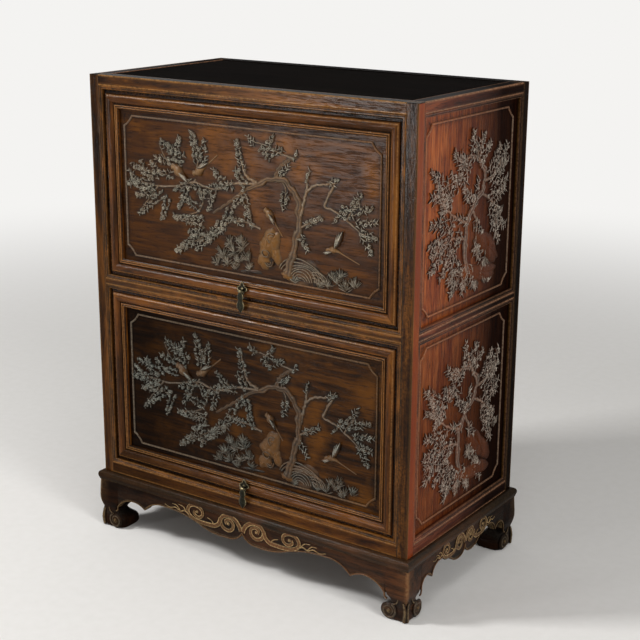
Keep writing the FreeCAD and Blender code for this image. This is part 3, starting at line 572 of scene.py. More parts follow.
@dataclass(frozen=True)
class Run:
    """Line that a section is carried along on a surface, with square or mitred ends."""

    surface: Surface
    start: tuple[float, float]
    way: tuple[float, float]
    inward: tuple[float, float]
    length: float
    mitre: float = 0.0

    def carry(self, section: Section) -> Solid:
        """Carry a section along the line.

        A point is the start, plus its distance inward, plus its way along, which runs from the mitre times
        the inward distance to the length less the same, and lies its depth below the surface.

        Args:
            section: Section to carry.

        Returns:
            Points, faces and patina.
        """
        inward, depth = section.points.T
        share = np.array([[0.0], [1.0]])
        along = share * self.length + (1 - 2 * share) * self.mitre * inward
        flat = (np.asarray(self.start) + inward[None, :, None] * np.asarray(self.inward)
                + along[:, :, None] * np.asarray(self.way))
        points = self.surface.place(raised(flat, -depth))
        return points, ring_faces(2, len(inward)), np.tile(section.patina, (2, 1))


def loop_moulding(surface: Surface, path: Array, section: Section) -> Solid:
    """Carry a section round a closed path with mitred corners.

    A point is the path's point plus its inward distance times the mitre, which is the sum of the two edge
    normals over one plus their dot product.

    Args:
        surface: Surface that the path lies on.
        path: Closed path that runs anticlockwise, so that inward is to its left.
        section: Section to carry.

    Returns:
        Points, faces and patina.
    """
    normal = leftward(unit(np.roll(path, -1, 0) - path))
    earlier = np.roll(normal, 1, 0)
    mitre = (normal + earlier) / (1 + np.sum(normal * earlier, 1, keepdims=True))
    inward, depth = section.points.T
    points = raised(path[:, None] + inward[None, :, None] * mitre[:, None], -depth)
    faces = ring_faces(len(path), len(inward), looped=True)
    return surface.place(points), faces, np.tile(section.patina, (len(path), 1))


# Carved shapes


def copies(faces: list[Array], count: int, size: int) -> list[Array]:
    """Faces of one shape, repeated for its copies by adding the shape's number of points each time.

    Args:
        faces: Faces that are repeated.
        count: Number of copies.
        size: Points of one copy.

    Returns:
        Faces of all copies.
    """
    shift = (np.arange(count) * size)[:, None, None]
    return [(part[None] + shift).reshape(-1, part.shape[1]) for part in faces]


def tubes(paths: Array, radii: Array | float, rise: float = 1.0, lift: float = 0.0,
          wear: tuple[float, float, float] = (0.0, 0.0, 0.0), keen: float = 3.0,
          groove: float = 0.0) -> Solid:
    """Half-round ribs along paths: sideways by radius times cosine and up by radius times sine.

    Their feet are sunk in the ground and darkened as painted shade. A groove lowers the crest by a bell
    curve, and painted shade darkens it inside.

    Args:
        paths: One path (m, 2) or several (n, m, 2) in the plane.
        radii: Radius of all ribs or at each point of the paths.
        rise: Height of the crest as a share of the radius.
        lift: Height that all points are raised by.
        wear: Dust and rubbing at the crest, which also make a painted highlight, and share of the warm tone.
        keen: Power of the crest's height that the rubbing follows; higher is narrower.
        groove: Depth of a groove along the crest as a share of its height.

    Returns:
        Points (along, up, out), faces and patina.
    """
    paths = np.asarray(paths, float).reshape(-1, *np.shape(paths)[-2:])
    radii = np.broadcast_to(radii, paths.shape[:2])[:, :, None]
    across = leftward(unit(np.gradient(paths, axis=1)))
    hollow = groove * bell(RIB_ANGLES - np.pi / 2, 0.4)
    height = radii * np.sin(RIB_ANGLES) * (1 - hollow) * rise + lift
    flat = paths[:, :, None] + (radii * np.cos(RIB_ANGLES))[..., None] * across[:, :, None]
    crest = np.clip(np.sin(RIB_ANGLES), 0, 1)
    worn = crest * (1 - (hollow > 0.2))
    dusty, rubbed_and_highlight, tone = wear
    # The crest's dust and rubbing are also a painted highlight; painted shade darkens the feet and the
    # groove.
    patina = grid(dusty * worn**2, rubbed_and_highlight * worn**keen, np.maximum(1 - crest**2, hollow > 0.2), tone)
    count, stations = paths.shape[:2]
    points = np.concatenate([flat, height[..., None]], 3).reshape(-1, 3)
    faces = copies(ring_faces(stations, len(crest)), count, stations * len(crest))
    return points, faces, np.tile(patina, (count * stations, 1))


def dome(centre: tuple[float, float], half: tuple[float, float], height: float,
         wear: tuple[float, float, float], turn: float = 0.0, lobes: float = 0.0, seed: int = 1,
         foot: float = 0.6) -> Solid:
    """Low boulder or boss: height times one less the cube of the distance from its middle.

    Its outline waves by the sum of seven sines, each finer and lower than the one before.

    Args:
        centre: Middle of the boulder.
        half: Half length and half width.
        height: Height at the middle.
        wear: Dust on the rim, rubbing at the top and on the rim, both also a painted highlight, and share of
            the warm tone.
        turn: Turn in degrees.
        lobes: Depth of the outline's waves as a share of the radius.
        seed: Seed of the waves.
        foot: Depth that the edge is sunk.

    Returns:
        Points (along, up, out), faces and patina.
    """
    chance = np.random.default_rng(seed)
    phase, bump = chance.uniform(0, 6.28, 7), chance.uniform(0.4, 1, 7)
    angle = full_turn(DOME_STEPS)
    wave = sum(bump[k] * np.sin((k + 2) * angle + phase[k]) / (1 + 0.45 * k) for k in range(7)) * lobes
    ring = DOME_RINGS
    reach = ring[:, None] * (1 + wave * ring[:, None])
    flat = np.stack([reach * np.cos(angle) * half[0], reach * np.sin(angle) * half[1]], -1)
    cos, sin = spoke(math.radians(turn))
    flat = flat @ np.array([[cos, sin], [-sin, cos]]) + np.asarray(centre)
    level = height * (1 - ring**3)[:, None] * (1 + wave)
    level = np.where(ring[:, None] >= 1.0, -foot * (ring[:, None] > 1.01), level)
    shade = np.repeat(ring, len(angle))
    rim = bell(shade - 0.82, 0.07)
    dusty, rubbed_and_highlight, tone = wear
    # Painted shade darkens it towards the edge.
    patina = grid(dusty * rim, rubbed_and_highlight * (1 - shade) + rubbed_and_highlight * rim, shade**5, tone)
    return raised(flat, level), ring_faces(len(ring), len(angle)), patina


def leaf_shape() -> Solid:
    """Pointed leaf one long and one half-wide: its height swells as a sine, with a narrow bright crest.

    Returns:
        Points (along, across, height), faces and patina.
    """
    along = np.array([0.0, 0.22, 0.5, 0.78, 1.0])[:, None]
    width = np.array([0.12, 0.78, 1.0, 0.62, 0.06])[:, None]
    across = np.array([-1.0, -0.82, -0.34, 0.0, 0.34, 0.82, 1.0])
    height = np.array([-0.35, 0.35, 0.8, 1.0, 0.8, 0.35, -0.35])
    swell = 0.55 + 0.45 * np.sin(np.pi * along**0.8)
    # Painted shade darkens the flanks, and pale dust with rubbing on the crest is also a painted highlight.
    flank = [(0, 0, 1, 0), (0, 0, 1, 0), (0.15, 0, 0.75, 0)]
    patina = np.array(flank + [(1.3, 0.5, 0, 0)] + flank[::-1], float)
    return grid(along, width * across, swell * height), ring_faces(5, 7), np.tile(patina, (5, 1))


def blossom_shape() -> Solid:
    """Five-petalled blossom of radius one: a dark eye, a bright raised ring round it and rounded petals.

    Returns:
        Points (along, across, height), faces and patina.
    """
    angle = full_turn(3 * PETALS)
    petal = np.tile([1.0, 0.0, 0.0], PETALS)
    # Reach and height of each ring, and what a petal's middle adds to both.
    rings = np.array([(0.16, 0, 0.1, 0), (0.3, 0, 0.3, 0), (0.52, 0.06, 0.9, 0.1), (0.7, 0.12, 0.62, 0.28),
                      (0.8, 0.2, -0.4, 0)])
    reach, level = (rings[:, k : k + 1] + rings[:, k + 1 : k + 2] * petal for k in (0, 2))
    # Painted shade darkens the eye and the outer edge, and pale dust with rubbing on the raised ring is also
    # a painted highlight.
    rows = np.array([(0, 0, 1, 0), (0, 0, 1, 0), (1.2, 0.4, 0, 0), (0.2, 0, 0.6, 0), (0, 0, 1, 0)], float)
    points = grid(reach * np.cos(angle), reach * np.sin(angle), level)
    return points, ring_faces(len(rings), len(angle)), np.repeat(rows, len(angle), 0)


def strew(shape: Solid, centre: Array, angle: Array, size: Array, lift: Array, bright: Array) -> Solid:
    """Set copies of a small shape: each is scaled, turned by its angle and moved to its centre.

    Args:
        shape: Shape to copy.
        centre: Places (n, 2).
        angle: Turns in radians (n,).
        size: Length, width and height of each (n, 3).
        lift: Height of each above the ground (n,).
        bright: Share of the wear that each keeps (n,).

    Returns:
        Points (along, up, out), faces and patina.
    """
    points, faces, patina = shape
    scaled = points[None] * size[:, None]
    cos, sin = np.cos(angle)[:, None], np.sin(angle)[:, None]
    turned = grid(centre[:, :1] + cos * scaled[..., 0] - sin * scaled[..., 1],
                  centre[:, 1:] + sin * scaled[..., 0] + cos * scaled[..., 1],
                  scaled[..., 2] + lift[:, None])
    worn = np.tile(patina, (len(centre), 1)) * np.repeat(bright, len(points))[:, None]
    return turned, copies(faces, len(centre), len(points)), worn


def make(name: str, body: str, finish: Finish, grain: Grain, solids: list[Solid],
         stands_for: tuple[str, ...] = (), crease: float = 42.0) -> None:
    """Make a piece of its solids: mesh with outward faces, patina as attributes, finish and ride.

    Args:
        name: Name of the piece.
        body: Moving part that it rides on.
        finish: Finish.
        grain: Direction of the fibres.
        solids: Solids in the cabinet's frame.
        stands_for: Nodes of the frame that it replaces.
        crease: Angle in degrees above which an edge stays crisp.
    """
    mesh = bpy.data.meshes.new(name)
    starts = np.cumsum([0] + [len(points) for points, parts, worn in solids])
    faces = [face for start, solid in zip(starts, solids)
             for part in solid[1] for face in (part + start).tolist()]
    mesh.from_pydata((np.concatenate([solid[0] for solid in solids]) * MM).tolist(), [], faces)
    worn = np.concatenate([solid[2] for solid in solids]).astype(np.float32)
    mesh.attributes.new("patina", "FLOAT_VECTOR", "POINT").data.foreach_set("vector", worn[:, :3].ravel())
    mesh.attributes.new("tone", "FLOAT", "POINT").data.foreach_set("value", worn[:, 3].copy())
    work = bmesh.new()
    work.from_mesh(mesh)
    bmesh.ops.recalc_face_normals(work, faces=work.faces)
    work.to_mesh(mesh)
    work.free()
    mesh.shade_smooth()
    mesh.set_sharp_from_angle(angle=math.radians(crease))
    mesh.materials.append(finish.dress(grain))
    piece = bpy.data.objects.new(name, mesh)
    bpy.context.scene.collection.objects.link(piece)
    piece.modifiers.new("even_shading", "WEIGHTED_NORMAL").keep_sharp = True
    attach(piece, body)
    if stands_for:
        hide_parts(*stands_for)
    log.info("%s: %d faces on %s", name, len(mesh.polygons), body)


# The case


@dataclass(frozen=True)
class Case:
    """Posts, rails and beads of the two-tier case.

    A rail is its tier, its top, its height and the widths of the bands left for the beads above and below;
    a tier is its name and the two heights of its opening.
    """

    half_width: float = 300.0
    half_depth: float = 165.0
    bottom: float = 101.0
    height: float = 668.0
    post: float = 24.0
    bead_band: float = 5.5
    rebate: float = 2.0
    rails: tuple = (("top", 769.0, 22.0, 0.0, 5.5), ("middle", 447.5, 22.4, 5.5, 5.5),
                    ("bottom", 125.6, 24.6, 5.5, 0.0))
    tiers: tuple = (("upper", 447.5, 747.0), ("lower", 125.6, 425.1))

    def sides(self) -> tuple:
        """Each worked side's surface, half opening, word in its nodes' names, finish and fibres."""
        wide, deep = self.half_width - self.post, self.half_depth - self.post
        return ((Surface(Face.FRONT, (0, -self.half_depth, 0)), wide, "", CASE_WOOD, Grain.ALONG_X),
                (Surface(Face.LEFT, (-self.half_width, 0, 0)), deep, "_side", RED_CASE_WOOD, Grain.ALONG_Y),
                (Surface(Face.RIGHT, (self.half_width, 0, 0)), deep, "_side", RED_CASE_WOOD, Grain.ALONG_Y))

    def build_posts(self) -> None:
        """Make the four posts, rebated for the beads beside each opening."""
        w, b, d = self.post, self.bead_band, self.rebate
        side = [(w, w), (d, w), (d, w - b), (0, w - b)]
        front = [(0, 0), (w - b, 0), (w - b, d), (w, d)]
        for sign, word in ((-1, "left"), (1, "right")):
            for face, steps in ((Face.FRONT, front + side), (Face.REAR, [(0, 0), (w, 0)] + side)):
                at_front, place = face is Face.FRONT, face.name.lower()
                section = Section.cut(steps, soft=1.1, reach=1.8, keep=(0.3, 0.5, 1, 1))
                inward, depth = section.points.T
                # A front post is red on its outer side, partly the wood and partly a painted light, and the
                # right one is darkened where it faces front, a painted shade.
                section.patina[:, 3] = 0.6 * at_front * ((inward < 0.6) & (depth > 1.5))
                section.patina[:, 2] += 0.75 * (at_front and sign > 0) * (depth < 0.6)
                turned = sign if at_front else -sign
                run = Run(Surface(face, (0, face.value[2][1] * self.half_depth, 0)),
                          (turned * self.half_width, self.bottom), (0, 1), (-turned, 0), self.height)
                make(f"{place}_{word}_corner_post", "cabinet", CASE_WOOD, Grain.ALONG_Z,
                     [run.carry(section)], (f"{place}_{word}_post",))

    def build_rails(self) -> None:
        """Make the front and side rails: a body between the posts and a face band that laps the rebates."""
        for surface, half, kind, wood, grain in self.sides():
            word, at_front = surface.face.name.lower(), surface.face is Face.FRONT
            for tier, top, height, above, below in self.rails:
                body = Section.cut([(0, self.rebate), (height, self.rebate), (height, self.post),
                                    (0, self.post)])
                band = Section.cut([(above, 0), (height - below, 0), (height - below, self.rebate + 0.4),
                                    (above, self.rebate + 0.4)], soft=0.7)
                band.patina[:, 2] += 0.3 * (at_front and tier != "top")
                solids = [Run(surface, (-span, top), (1, 0), (0, -1), 2 * span).carry(section)
                          for span, section in ((half, body), (half + self.bead_band, band))]
                make(f"{word}_{tier}_case_rail", "cabinet",
                     LOW_FRAME_WOOD if at_front and tier == "bottom" else wood, grain, solids,
                     (f"{word}_{tier}{kind}_rail",))

    def build_beads(self) -> None:
        """Make the mitred bead round each opening, sunk between the flat wood and the opening's edge."""
        steps = [(-5.5, 1.0), ((-4.0, 0.0), (-2.5, 1.0)), (0, 1.0), (0, 2.3), (-5.5, 2.3)]
        section = Section.cut(steps, soft=0.25, longest=1.0, reach=0.7, keep=(0.2, 0.45, 1, 1))
        for surface, half, kind, wood, grain in self.sides():
            for tier, low, high in self.tiers:
                path = np.array([(-half, low), (half, low), (half, high), (-half, high)])
                make(f"{surface.face.name.lower()}_{tier}_opening_bead", "cabinet", wood, Grain.CURLED,
                     [loop_moulding(surface, path, section)])


# Carving


@dataclass(frozen=True)
class Tree:
    """Layout of a carved bird-and-blossom field, in millimetres from the middle of the field.

    A bough is its points, its two end radii and whether it is polished; a spray is start, tip and half
    width; a bird is its points and body radius; a wing is its root, length, width and turn; a boulder is
    centre, half sizes, height and turn; a ripple is centre, inner and outer radius, number of arcs, first
    and last angle and height; a fan is centre, length and first and last angle. Leaves stand a spacing
    apart, and a share of them are blossoms.
    """

    boughs: tuple
    sprays: tuple
    birds: tuple
    wings: tuple
    boulders: tuple
    ripples: tuple
    fans: tuple
    leaf: tuple[float, float, float]
    blossom: float
    blossom_share: float
    spacing: float


DOOR_TREE = Tree(
    boughs=(
        (((78, -99), (86, -70), (95, -38), (99, -5), (90, 27), (64, 43), (38, 37), (0, 20)), 7.5, 3.6, True),
        (((2, 21), (-30, -2), (-63, -23)), 3.2, 1.8, True),
        (((22, 31), (-20, 27), (-60, 14), (-100, 20), (-150, 8), (-190, 8), (-225, 12)), 2.2, 0.9, False),
        (((22, 33), (4, 40), (-5, 56), (-12, 88)), 2.8, 1.1, False),
        (((56, 44), (64, 60), (78, 71), (94, 78)), 3.8, 2.6, True),
        (((88, 76), (62, 81), (38, 90), (16, 93)), 1.6, 0.8, False),
        (((98, -26), (120, -14), (139, -4)), 2.2, 1.1, False),
        (((100, -10), (107, 15), (112, 36), (113, 58)), 3.2, 1.5, False),
        (((110, 28), (125, 40), (145, 44), (164, 48)), 2.6, 1.2, False),
        (((160, 45), (150, 28), (144, 12), (162, 7), (184, -5), (206, -20), (219, -29)), 2.3, 1.1, False),
        (((182, -3), (190, 12), (204, 31)), 1.5, 0.8, False),
        (((28, -36), (0, -29), (-30, -33), (-60, -50), (-100, -72), (-133, -90)), 1.7, 0.8, False),
        (((-95, 26), (-106, 12), (-116, -4)), 1.4, 0.8, False),
        (((-78, 12), (-84, -14), (-100, -28), (-140, -38)), 1.4, 0.8, False),
        (((-110, 18), (-150, 46), (-168, 74)), 1.5, 0.8, False),
        (((-92, 44), (-90, 66), (-102, 96)), 1.4, 0.8, False),
        (((-170, 8), (-190, -14), (-212, -40)), 1.5, 0.8, False),
        (((66, 42), (74, 30), (72, 10)), 1.3, 0.8, False),
    ),
    sprays=(
        (-88, 52, -102, 100, 12), (-80, 54, -76, 90, 10), (-118, 50, -165, 80, 12), (-122, 44, -176, 52, 10),
        (-138, 60, -124, 88, 8), (-178, 22, -226, 36, 8), (-180, 8, -236, 6, 12), (-164, 20, -186, 44, 10),
        (-178, 0, -218, -14, 11), (-160, -4, -214, -44, 9), (-150, -8, -166, -48, 10),
        (-140, 28, -172, 30, 9),
        (-86, -18, -122, -6, 10), (-80, -38, -142, -38, 11), (-76, -52, -112, -60, 10),
        (-86, -60, -138, -94, 11), (-60, -50, -96, -86, 10), (-44, -38, -76, -70, 11),
        (-28, -12, -50, -52, 10),
        (0, 16, -26, -12, 9), (-34, 20, -62, 46, 10), (-54, 20, -82, 6, 9), (-20, 24, -60, 18, 8),
        (0, 28, -20, 50, 9), (-4, 50, -16, 94, 9), (18, 90, 4, 100, 6), (40, 88, 54, 106, 7),
        (50, 80, 72, 88, 8),
        (30, 86, 46, 70, 7), (0, 10, 6, -18, 9), (4, -14, 14, -36, 8), (-4, -30, -36, -26, 8),
        (74, 24, 70, -2, 10), (66, 50, 82, 64, 6), (112, 46, 118, 64, 5), (150, 44, 168, 54, 6),
        (108, -20, 140, -4, 7), (184, 4, 206, 40, 9), (188, 8, 228, 20, 9), (176, 0, 176, 18, 6),
        (204, -16, 234, -24, 8), (210, -22, 226, -50, 9), (198, -6, 236, 0, 6), (-100, 20, -140, 4, 9),
        (-110, 14, -130, -24, 8), (-60, 8, -72, -22, 8), (100, -34, 116, -60, 7), (-198, 22, -206, 44, 6),
        (-94, 18, -80, -6, 7), (170, 2, 160, -10, 5), (-212, 8, -232, 26, 6), (88, 74, 96, 86, 5),
    ),
    birds=(
        (((-143, 41), (-134, 39), (-124, 30), (-112, 23), (-98, 16)), 8.0),
        (((-101, 34), (-93, 36), (-84, 41), (-70, 52), (-52, 67)), 7.0),
        (((35, -5), (41, -8), (48, -16), (57, -27), (68, -42)), 6.2),
        (((146, -53), (154, -50), (164, -50), (180, -56), (204, -65)), 5.2),
    ),
    wings=((-130, 34, 26, 5.0, -28), (-90, 42, 24, 4.5, 36), (44, -9, 20, 4.0, -50), (163, -47, 30, 5.0, 72),
           (158, -52, 16, 3.4, -160)),
    boulders=((50, -50, 15, 19, 4.4, -18), (40, -62, 16, 17, 4.2, 10), (57, -72, 9, 16, 3.4, 12),
              (34, -84, 13, 12, 3.6, -30), (10, -104, 22, 3, 2.0, 4), (78, -100, 12, 7, 3.4, 0),
              (106, -92, 31, 18, 1.4, 15)),
    ripples=((102, -105, 7, 42, 8, 4, 155, 0.9), (39, -71, 6.4, 6.4, 1, 0, 345, 3.3),
             (52, -47, 5, 9.5, 2, 70, 240, 3.4), (45, -84, 4, 7.5, 2, 190, 380, 2.6),
             (128, -107, 7, 24, 4, 25, 110, 0.9)),
    fans=((-4, -70, 20, 40, 230), (-22, -78, 20, 60, 240), (-42, -86, 18, 50, 220), (6, -86, 18, 60, 200),
          (-12, -92, 16, 20, 200), (-34, -98, 18, 30, 210), (-54, -100, 15, 60, 220),
          (-20, -104, 14, 20, 170),
          (-8, -60, 14, 20, 200), (-30, -66, 15, 60, 230), (8, -100, 12, 20, 170), (150, -106, 17, 20, 160),
          (166, -98, 17, 25, 150), (182, -106, 19, 30, 165), (198, -98, 16, 30, 165), (174, -88, 13, 20, 160),
          (134, -107, 15, 20, 150), (158, -92, 12, 30, 150), (92, -108, 12, 20, 160)),
    leaf=(7.4, 1.5, 2.4),
    blossom=3.1,
    blossom_share=0.3,
    spacing=3.7,
)

SIDE_TREE = Tree(
    boughs=(
        (((-2, -96), (-9, -62), (-6, -24), (12, 4), (36, 20), (46, 44), (28, 68), (-4, 80)), 6.6, 4.0, True),
        (((30, 62), (18, 88), (4, 110)), 3.0, 1.0, False),
        (((-2, 78), (-28, 74), (-50, 86)), 2.6, 1.0, False),
        (((-4, -20), (-36, -8), (-70, 12), (-108, 34)), 3.0, 1.0, False),
        (((-6, -44), (-40, -36), (-80, -42), (-112, -68)), 2.8, 1.0, False),
        (((44, 36), (70, 40), (98, 62), (112, 60)), 3.0, 1.0, False),
        (((38, 18), (66, 4), (92, -18), (112, -44)), 2.8, 1.0, False),
        (((-4, -80), (-26, -98), (-48, -122)), 2.6, 1.0, False),
        (((8, 0), (26, -26), (22, -56)), 3.6, 1.6, False),
    ),
    sprays=(
        (-50, 28, -116, 72, 15), (-52, 20, -114, 36, 13), (-58, 24, -88, 4, 12), (-44, -18, -114, -4, 15),
        (-50, -30, -117, -36, 14), (-52, -44, -114, -76, 13), (-42, -58, -84, -88, 12),
        (-16, 58, -52, 90, 13),
        (-2, 56, -30, 84, 11), (8, 70, 4, 118, 13), (20, 82, 42, 108, 11), (26, 66, 62, 92, 12),
        (60, 40, 92, 86, 15), (64, 22, 116, 60, 15), (60, 2, 114, 16, 14), (62, -10, 106, -20, 13),
        (70, -20, 117, -44, 13), (76, -30, 98, -66, 12), (-20, -80, -52, -124, 13),
        (-10, -86, -14, -126, 11),
        (2, -88, 26, -124, 11), (16, -58, 54, -72, 10), (20, -62, 62, -102, 10), (10, 10, -22, 32, 11),
        (14, 2, 26, 42, 9), (0, -18, -36, -8, 10), (-34, -66, -60, -104, 12), (-70, 10, -100, 54, 11),
        (90, 20, 118, 30, 10), (-30, 40, -60, 60, 11), (40, -100, 70, -124, 9), (-80, -40, -112, -52, 11),
        (84, 44, 116, 84, 11), (-8, 34, -34, 56, 10), (18, -20, 44, -44, 10), (-24, -30, -50, -60, 11),
    ),
    birds=(),
    wings=(),
    boulders=((60, -66, 50, 17, 3.6, -38), (44, -104, 54, 14, 3.4, -8), (-4, -92, 16, 14, 3.0, 10)),
    ripples=(),
    fans=((26, -58, 20, 200, 330), (52, -82, 20, 190, 320), (-8, -104, 22, 190, 350),
          (24, -112, 20, 200, 340), (-40, -100, 20, 170, 320)),
    leaf=(10.5, 1.6, 2.5),
    blossom=3.4,
    blossom_share=0.14,
    spacing=4.6,
)


@dataclass(frozen=True)
class CarvedField:
    """A carved board: hand-levelled ground, raised border and the tree that stands on it.

    Its way is minus one where the carving runs the other way round.
    """

    name: str
    surface: Surface
    half_width: float
    half_height: float
    thickness: float
    inset: float
    node: str
    body: str
    tree: Tree
    ground: AgedHardwood
    carved: AgedHardwood
    grain: Grain
    seed: int
    way: int = 1
    border_corner: float = 16.0
    border_bow: float = 9.2

    @property
    def at_front(self) -> bool:
        """Whether the field is a door's, whose fibres run across it."""
        return self.grain is Grain.ALONG_X

    def scatter(self) -> tuple[Array, Array]:
        """Set leaf and blossom places along twigs that run side by side up each spray.

        A place is the spray's start plus its step's share of the length, moved sideways by its twig's
        share of the width, which narrows towards the tip. Leaves point left and right by turns.

        Returns:
            Places, and angles of the leaves.
        """
        chance = np.random.default_rng(self.seed)
        spray = np.array(self.tree.sprays, float)
        run = spray[:, 2:4] - spray[:, :2]
        length = np.hypot(*run.T)
        steps = np.ceil(length / self.tree.spacing).astype(int) + 1
        twigs = np.ceil(spray[:, 4] / TWIG_SPAN).astype(int)
        counts = steps * twigs
        which = np.repeat(np.arange(len(spray)), counts)
        index = np.arange(len(which)) - np.repeat(np.cumsum(counts) - counts, counts)
        step, twig = index % steps[which], index // steps[which]
        share = (step + chance.uniform(-0.5, 0.7, len(which))) / steps[which]
        aside = (2 * (twig + 0.5) / twigs[which] - 1) * np.clip(1.1 - share, 0.12, 1) ** 0.7
        aside = aside * spray[which, 4] + chance.normal(0, 0.8, len(which))
        way = run[which] / length[which, None]
        places = spray[which, :2] + run[which] * share[:, None] + leftward(way) * aside[:, None]
        side = np.where((step + twig) % 2 == 0, 1.0, -1.0)
        angle = np.arctan2(way[:, 1], way[:, 0]) + side * 0.75 + aside / spray[which, 4] * 0.35
        return places, angle

    def foliage(self) -> tuple[list[Solid], Array]:
        """Leaves and blossoms on the sprays, and long leaves fanned out of tufts.

        Returns:
            The solids, and the places they stand at.
        """
        chance = np.random.default_rng(self.seed + 1)
        places, angle = self.scatter()
        flower = chance.random(len(places)) < self.tree.blossom_share
        leaf = ~flower
        count = int(leaf.sum())
        size = np.asarray(self.tree.leaf) * chance.uniform(0.7, 1.25, (count, 3))
        turn = angle[leaf] + chance.normal(0, 0.3, count)
        start = places[leaf] - 0.25 * size[:, :1] * spoke(turn)
        solids = [strew(leaf_shape(), start, turn, size, chance.uniform(0, 0.9, count),
                        chance.uniform(0.75, 1.1, count))]
        count = int(flower.sum())
        radius = self.tree.blossom * chance.uniform(0.75, 1.2, count)
        size = np.stack([radius, radius, 2.7 * chance.uniform(0.8, 1.15, count)], 1)
        solids.append(strew(blossom_shape(), places[flower], chance.uniform(0, 6.28, count), size,
                            chance.uniform(0.2, 1.2, count), chance.uniform(0.75, 1.1, count)))
        fan = np.repeat(np.array(self.tree.fans, float), FAN_LEAVES, 0)
        count = len(fan)
        turn = np.radians(fan[:, 3] + (fan[:, 4] - fan[:, 3]) * chance.random(count))
        size = np.stack([fan[:, 2] * chance.uniform(0.55, 1.0, count), chance.uniform(0.8, 1.25, count),
                         chance.uniform(1.6, 2.8, count)], 1)
        root = fan[:, :2] + chance.normal(0, 1.5, (count, 2))
        solids.append(strew(leaf_shape(), root, turn, size, chance.uniform(0, 1.0, count),
                            chance.uniform(0.55, 0.9, count)))
        return solids, np.concatenate([places, root + size[:, :1] * 0.5 * spoke(turn)])

    def bough(self, points: tuple, first: float, last: float, polished: bool) -> tuple[Solid, Array]:
        """One bough: a tapered rib along a smooth path that two sines bend sideways.

        Its knots are a slow wave and sharp swellings of its radius, and a polished one is grooved.

        Args:
            points: Points that the path passes.
            first: Radius at the start.
            last: Radius at the end.
            polished: Whether its crest is polished brown rather than dusty.

        Returns:
            The solid, and the path.
        """
        path = smooth_path(points, 14 if polished else 9)
        share = np.linspace(0, 1, len(path))
        aside = leftward(unit(np.gradient(path, axis=0)))
        bent = 0.22 * first * (np.sin(share * 37 + self.seed) + 0.6 * np.sin(share * 71 + first))
        path = path + aside * (bent * np.sin(np.pi * share) ** 0.5)[:, None]
        sharp = np.maximum(0, np.sin(share * 43 + first)) ** 6
        knots = 1 + 0.14 * np.sin(share * 31 + self.seed) + 0.38 * sharp
        radius = (first + (last - first) * share) * knots * (0.9 if polished else 1.0)
        radius[-1] *= 0.55
        # On a side field the polished trunk's crest takes more pale dust, which is a painted highlight.
        dusty = 0.24 if not polished else 0.13 if self.at_front else 0.45
        solid = tubes(path, radius, rise=0.6 if first > 3 else 0.85, wear=(dusty, 0.16, 0.35), keen=4.0,
                      groove=0.3 if polished else 0.0)
        return solid, path

    def timber(self) -> tuple[list[Solid], Array]:
        """All boughs and the ripples of the rocks, which are ribs along waved arcs of growing radius.

        Returns:
            The solids, and points of their paths.
        """
        made = [self.bough(*bough) for bough in self.tree.boughs]
        solids, paths = [solid for solid, path in made], [path for solid, path in made]
        for centre_x, centre_y, inner, outer, count, first, last, lift in self.tree.ripples:
            angle = np.radians(np.linspace(first, last, 15))
            radius = np.linspace(inner, outer, count)[:, None]
            radius = radius * (1 + 0.07 * np.sin(2.6 * angle + radius / 5))
            path = np.stack([centre_x + radius * np.cos(angle),
                             centre_y + 0.8 * radius * np.sin(angle)], -1)
            dusty = 0.22 if lift < 2 else 0.1
            solids.append(tubes(path, 1.15, rise=1.3, lift=lift, wear=(dusty, 0.3, 0.0), keen=8.0))
            paths.append(path.reshape(-1, 2))
        return solids, np.concatenate(paths)

    def creatures(self) -> list[Solid]:
        """Birds and boulders: a bird is a rib whose radius swells by bell curves at head and breast.

        A wing is three long feathers, each shorter and further turned than the one before.

        Returns:
            The solids.
        """
        solids = []
        for points, girth in self.tree.birds:
            path = smooth_path(points, 7)
            share = np.linspace(0, 1, len(path))
            head, breast = bell(share - 0.1, 0.09), bell(share - 0.38, 0.18)
            swell = 0.5 * head + 0.95 * breast + 0.18 + 0.12 * (share < 0.04)
            swell[0] = 0.12
            solids.append(tubes(path, girth * swell, rise=0.72, wear=(0.05, 0.25, 0.7), keen=6.0))
        for x, y, length, width, turn in self.tree.wings:
            for step in range(3):
                size = np.array([[length * (1 - 0.14 * step), width * (0.9 - 0.2 * step), 2.6]])
                feather = np.radians([turn + 7.0 * step - 7])
                solids.append(strew(leaf_shape(), np.array([[x, y]], float), feather, size,
                                    np.array([2.2 + 0.5 * step]), np.array([0.7])))
        for x, y, half, width, height, turn in self.tree.boulders:
            proud = float(height > 2)
            wear = (0.12, 0.12 * proud, 0.85 * proud) if self.at_front else (0.0, 0.0, 0.45 * proud)
            solids.append(dome((x, y), (half, width), height, wear, turn, lobes=0.12,
                               seed=self.seed + int(abs(x))))
        return solids

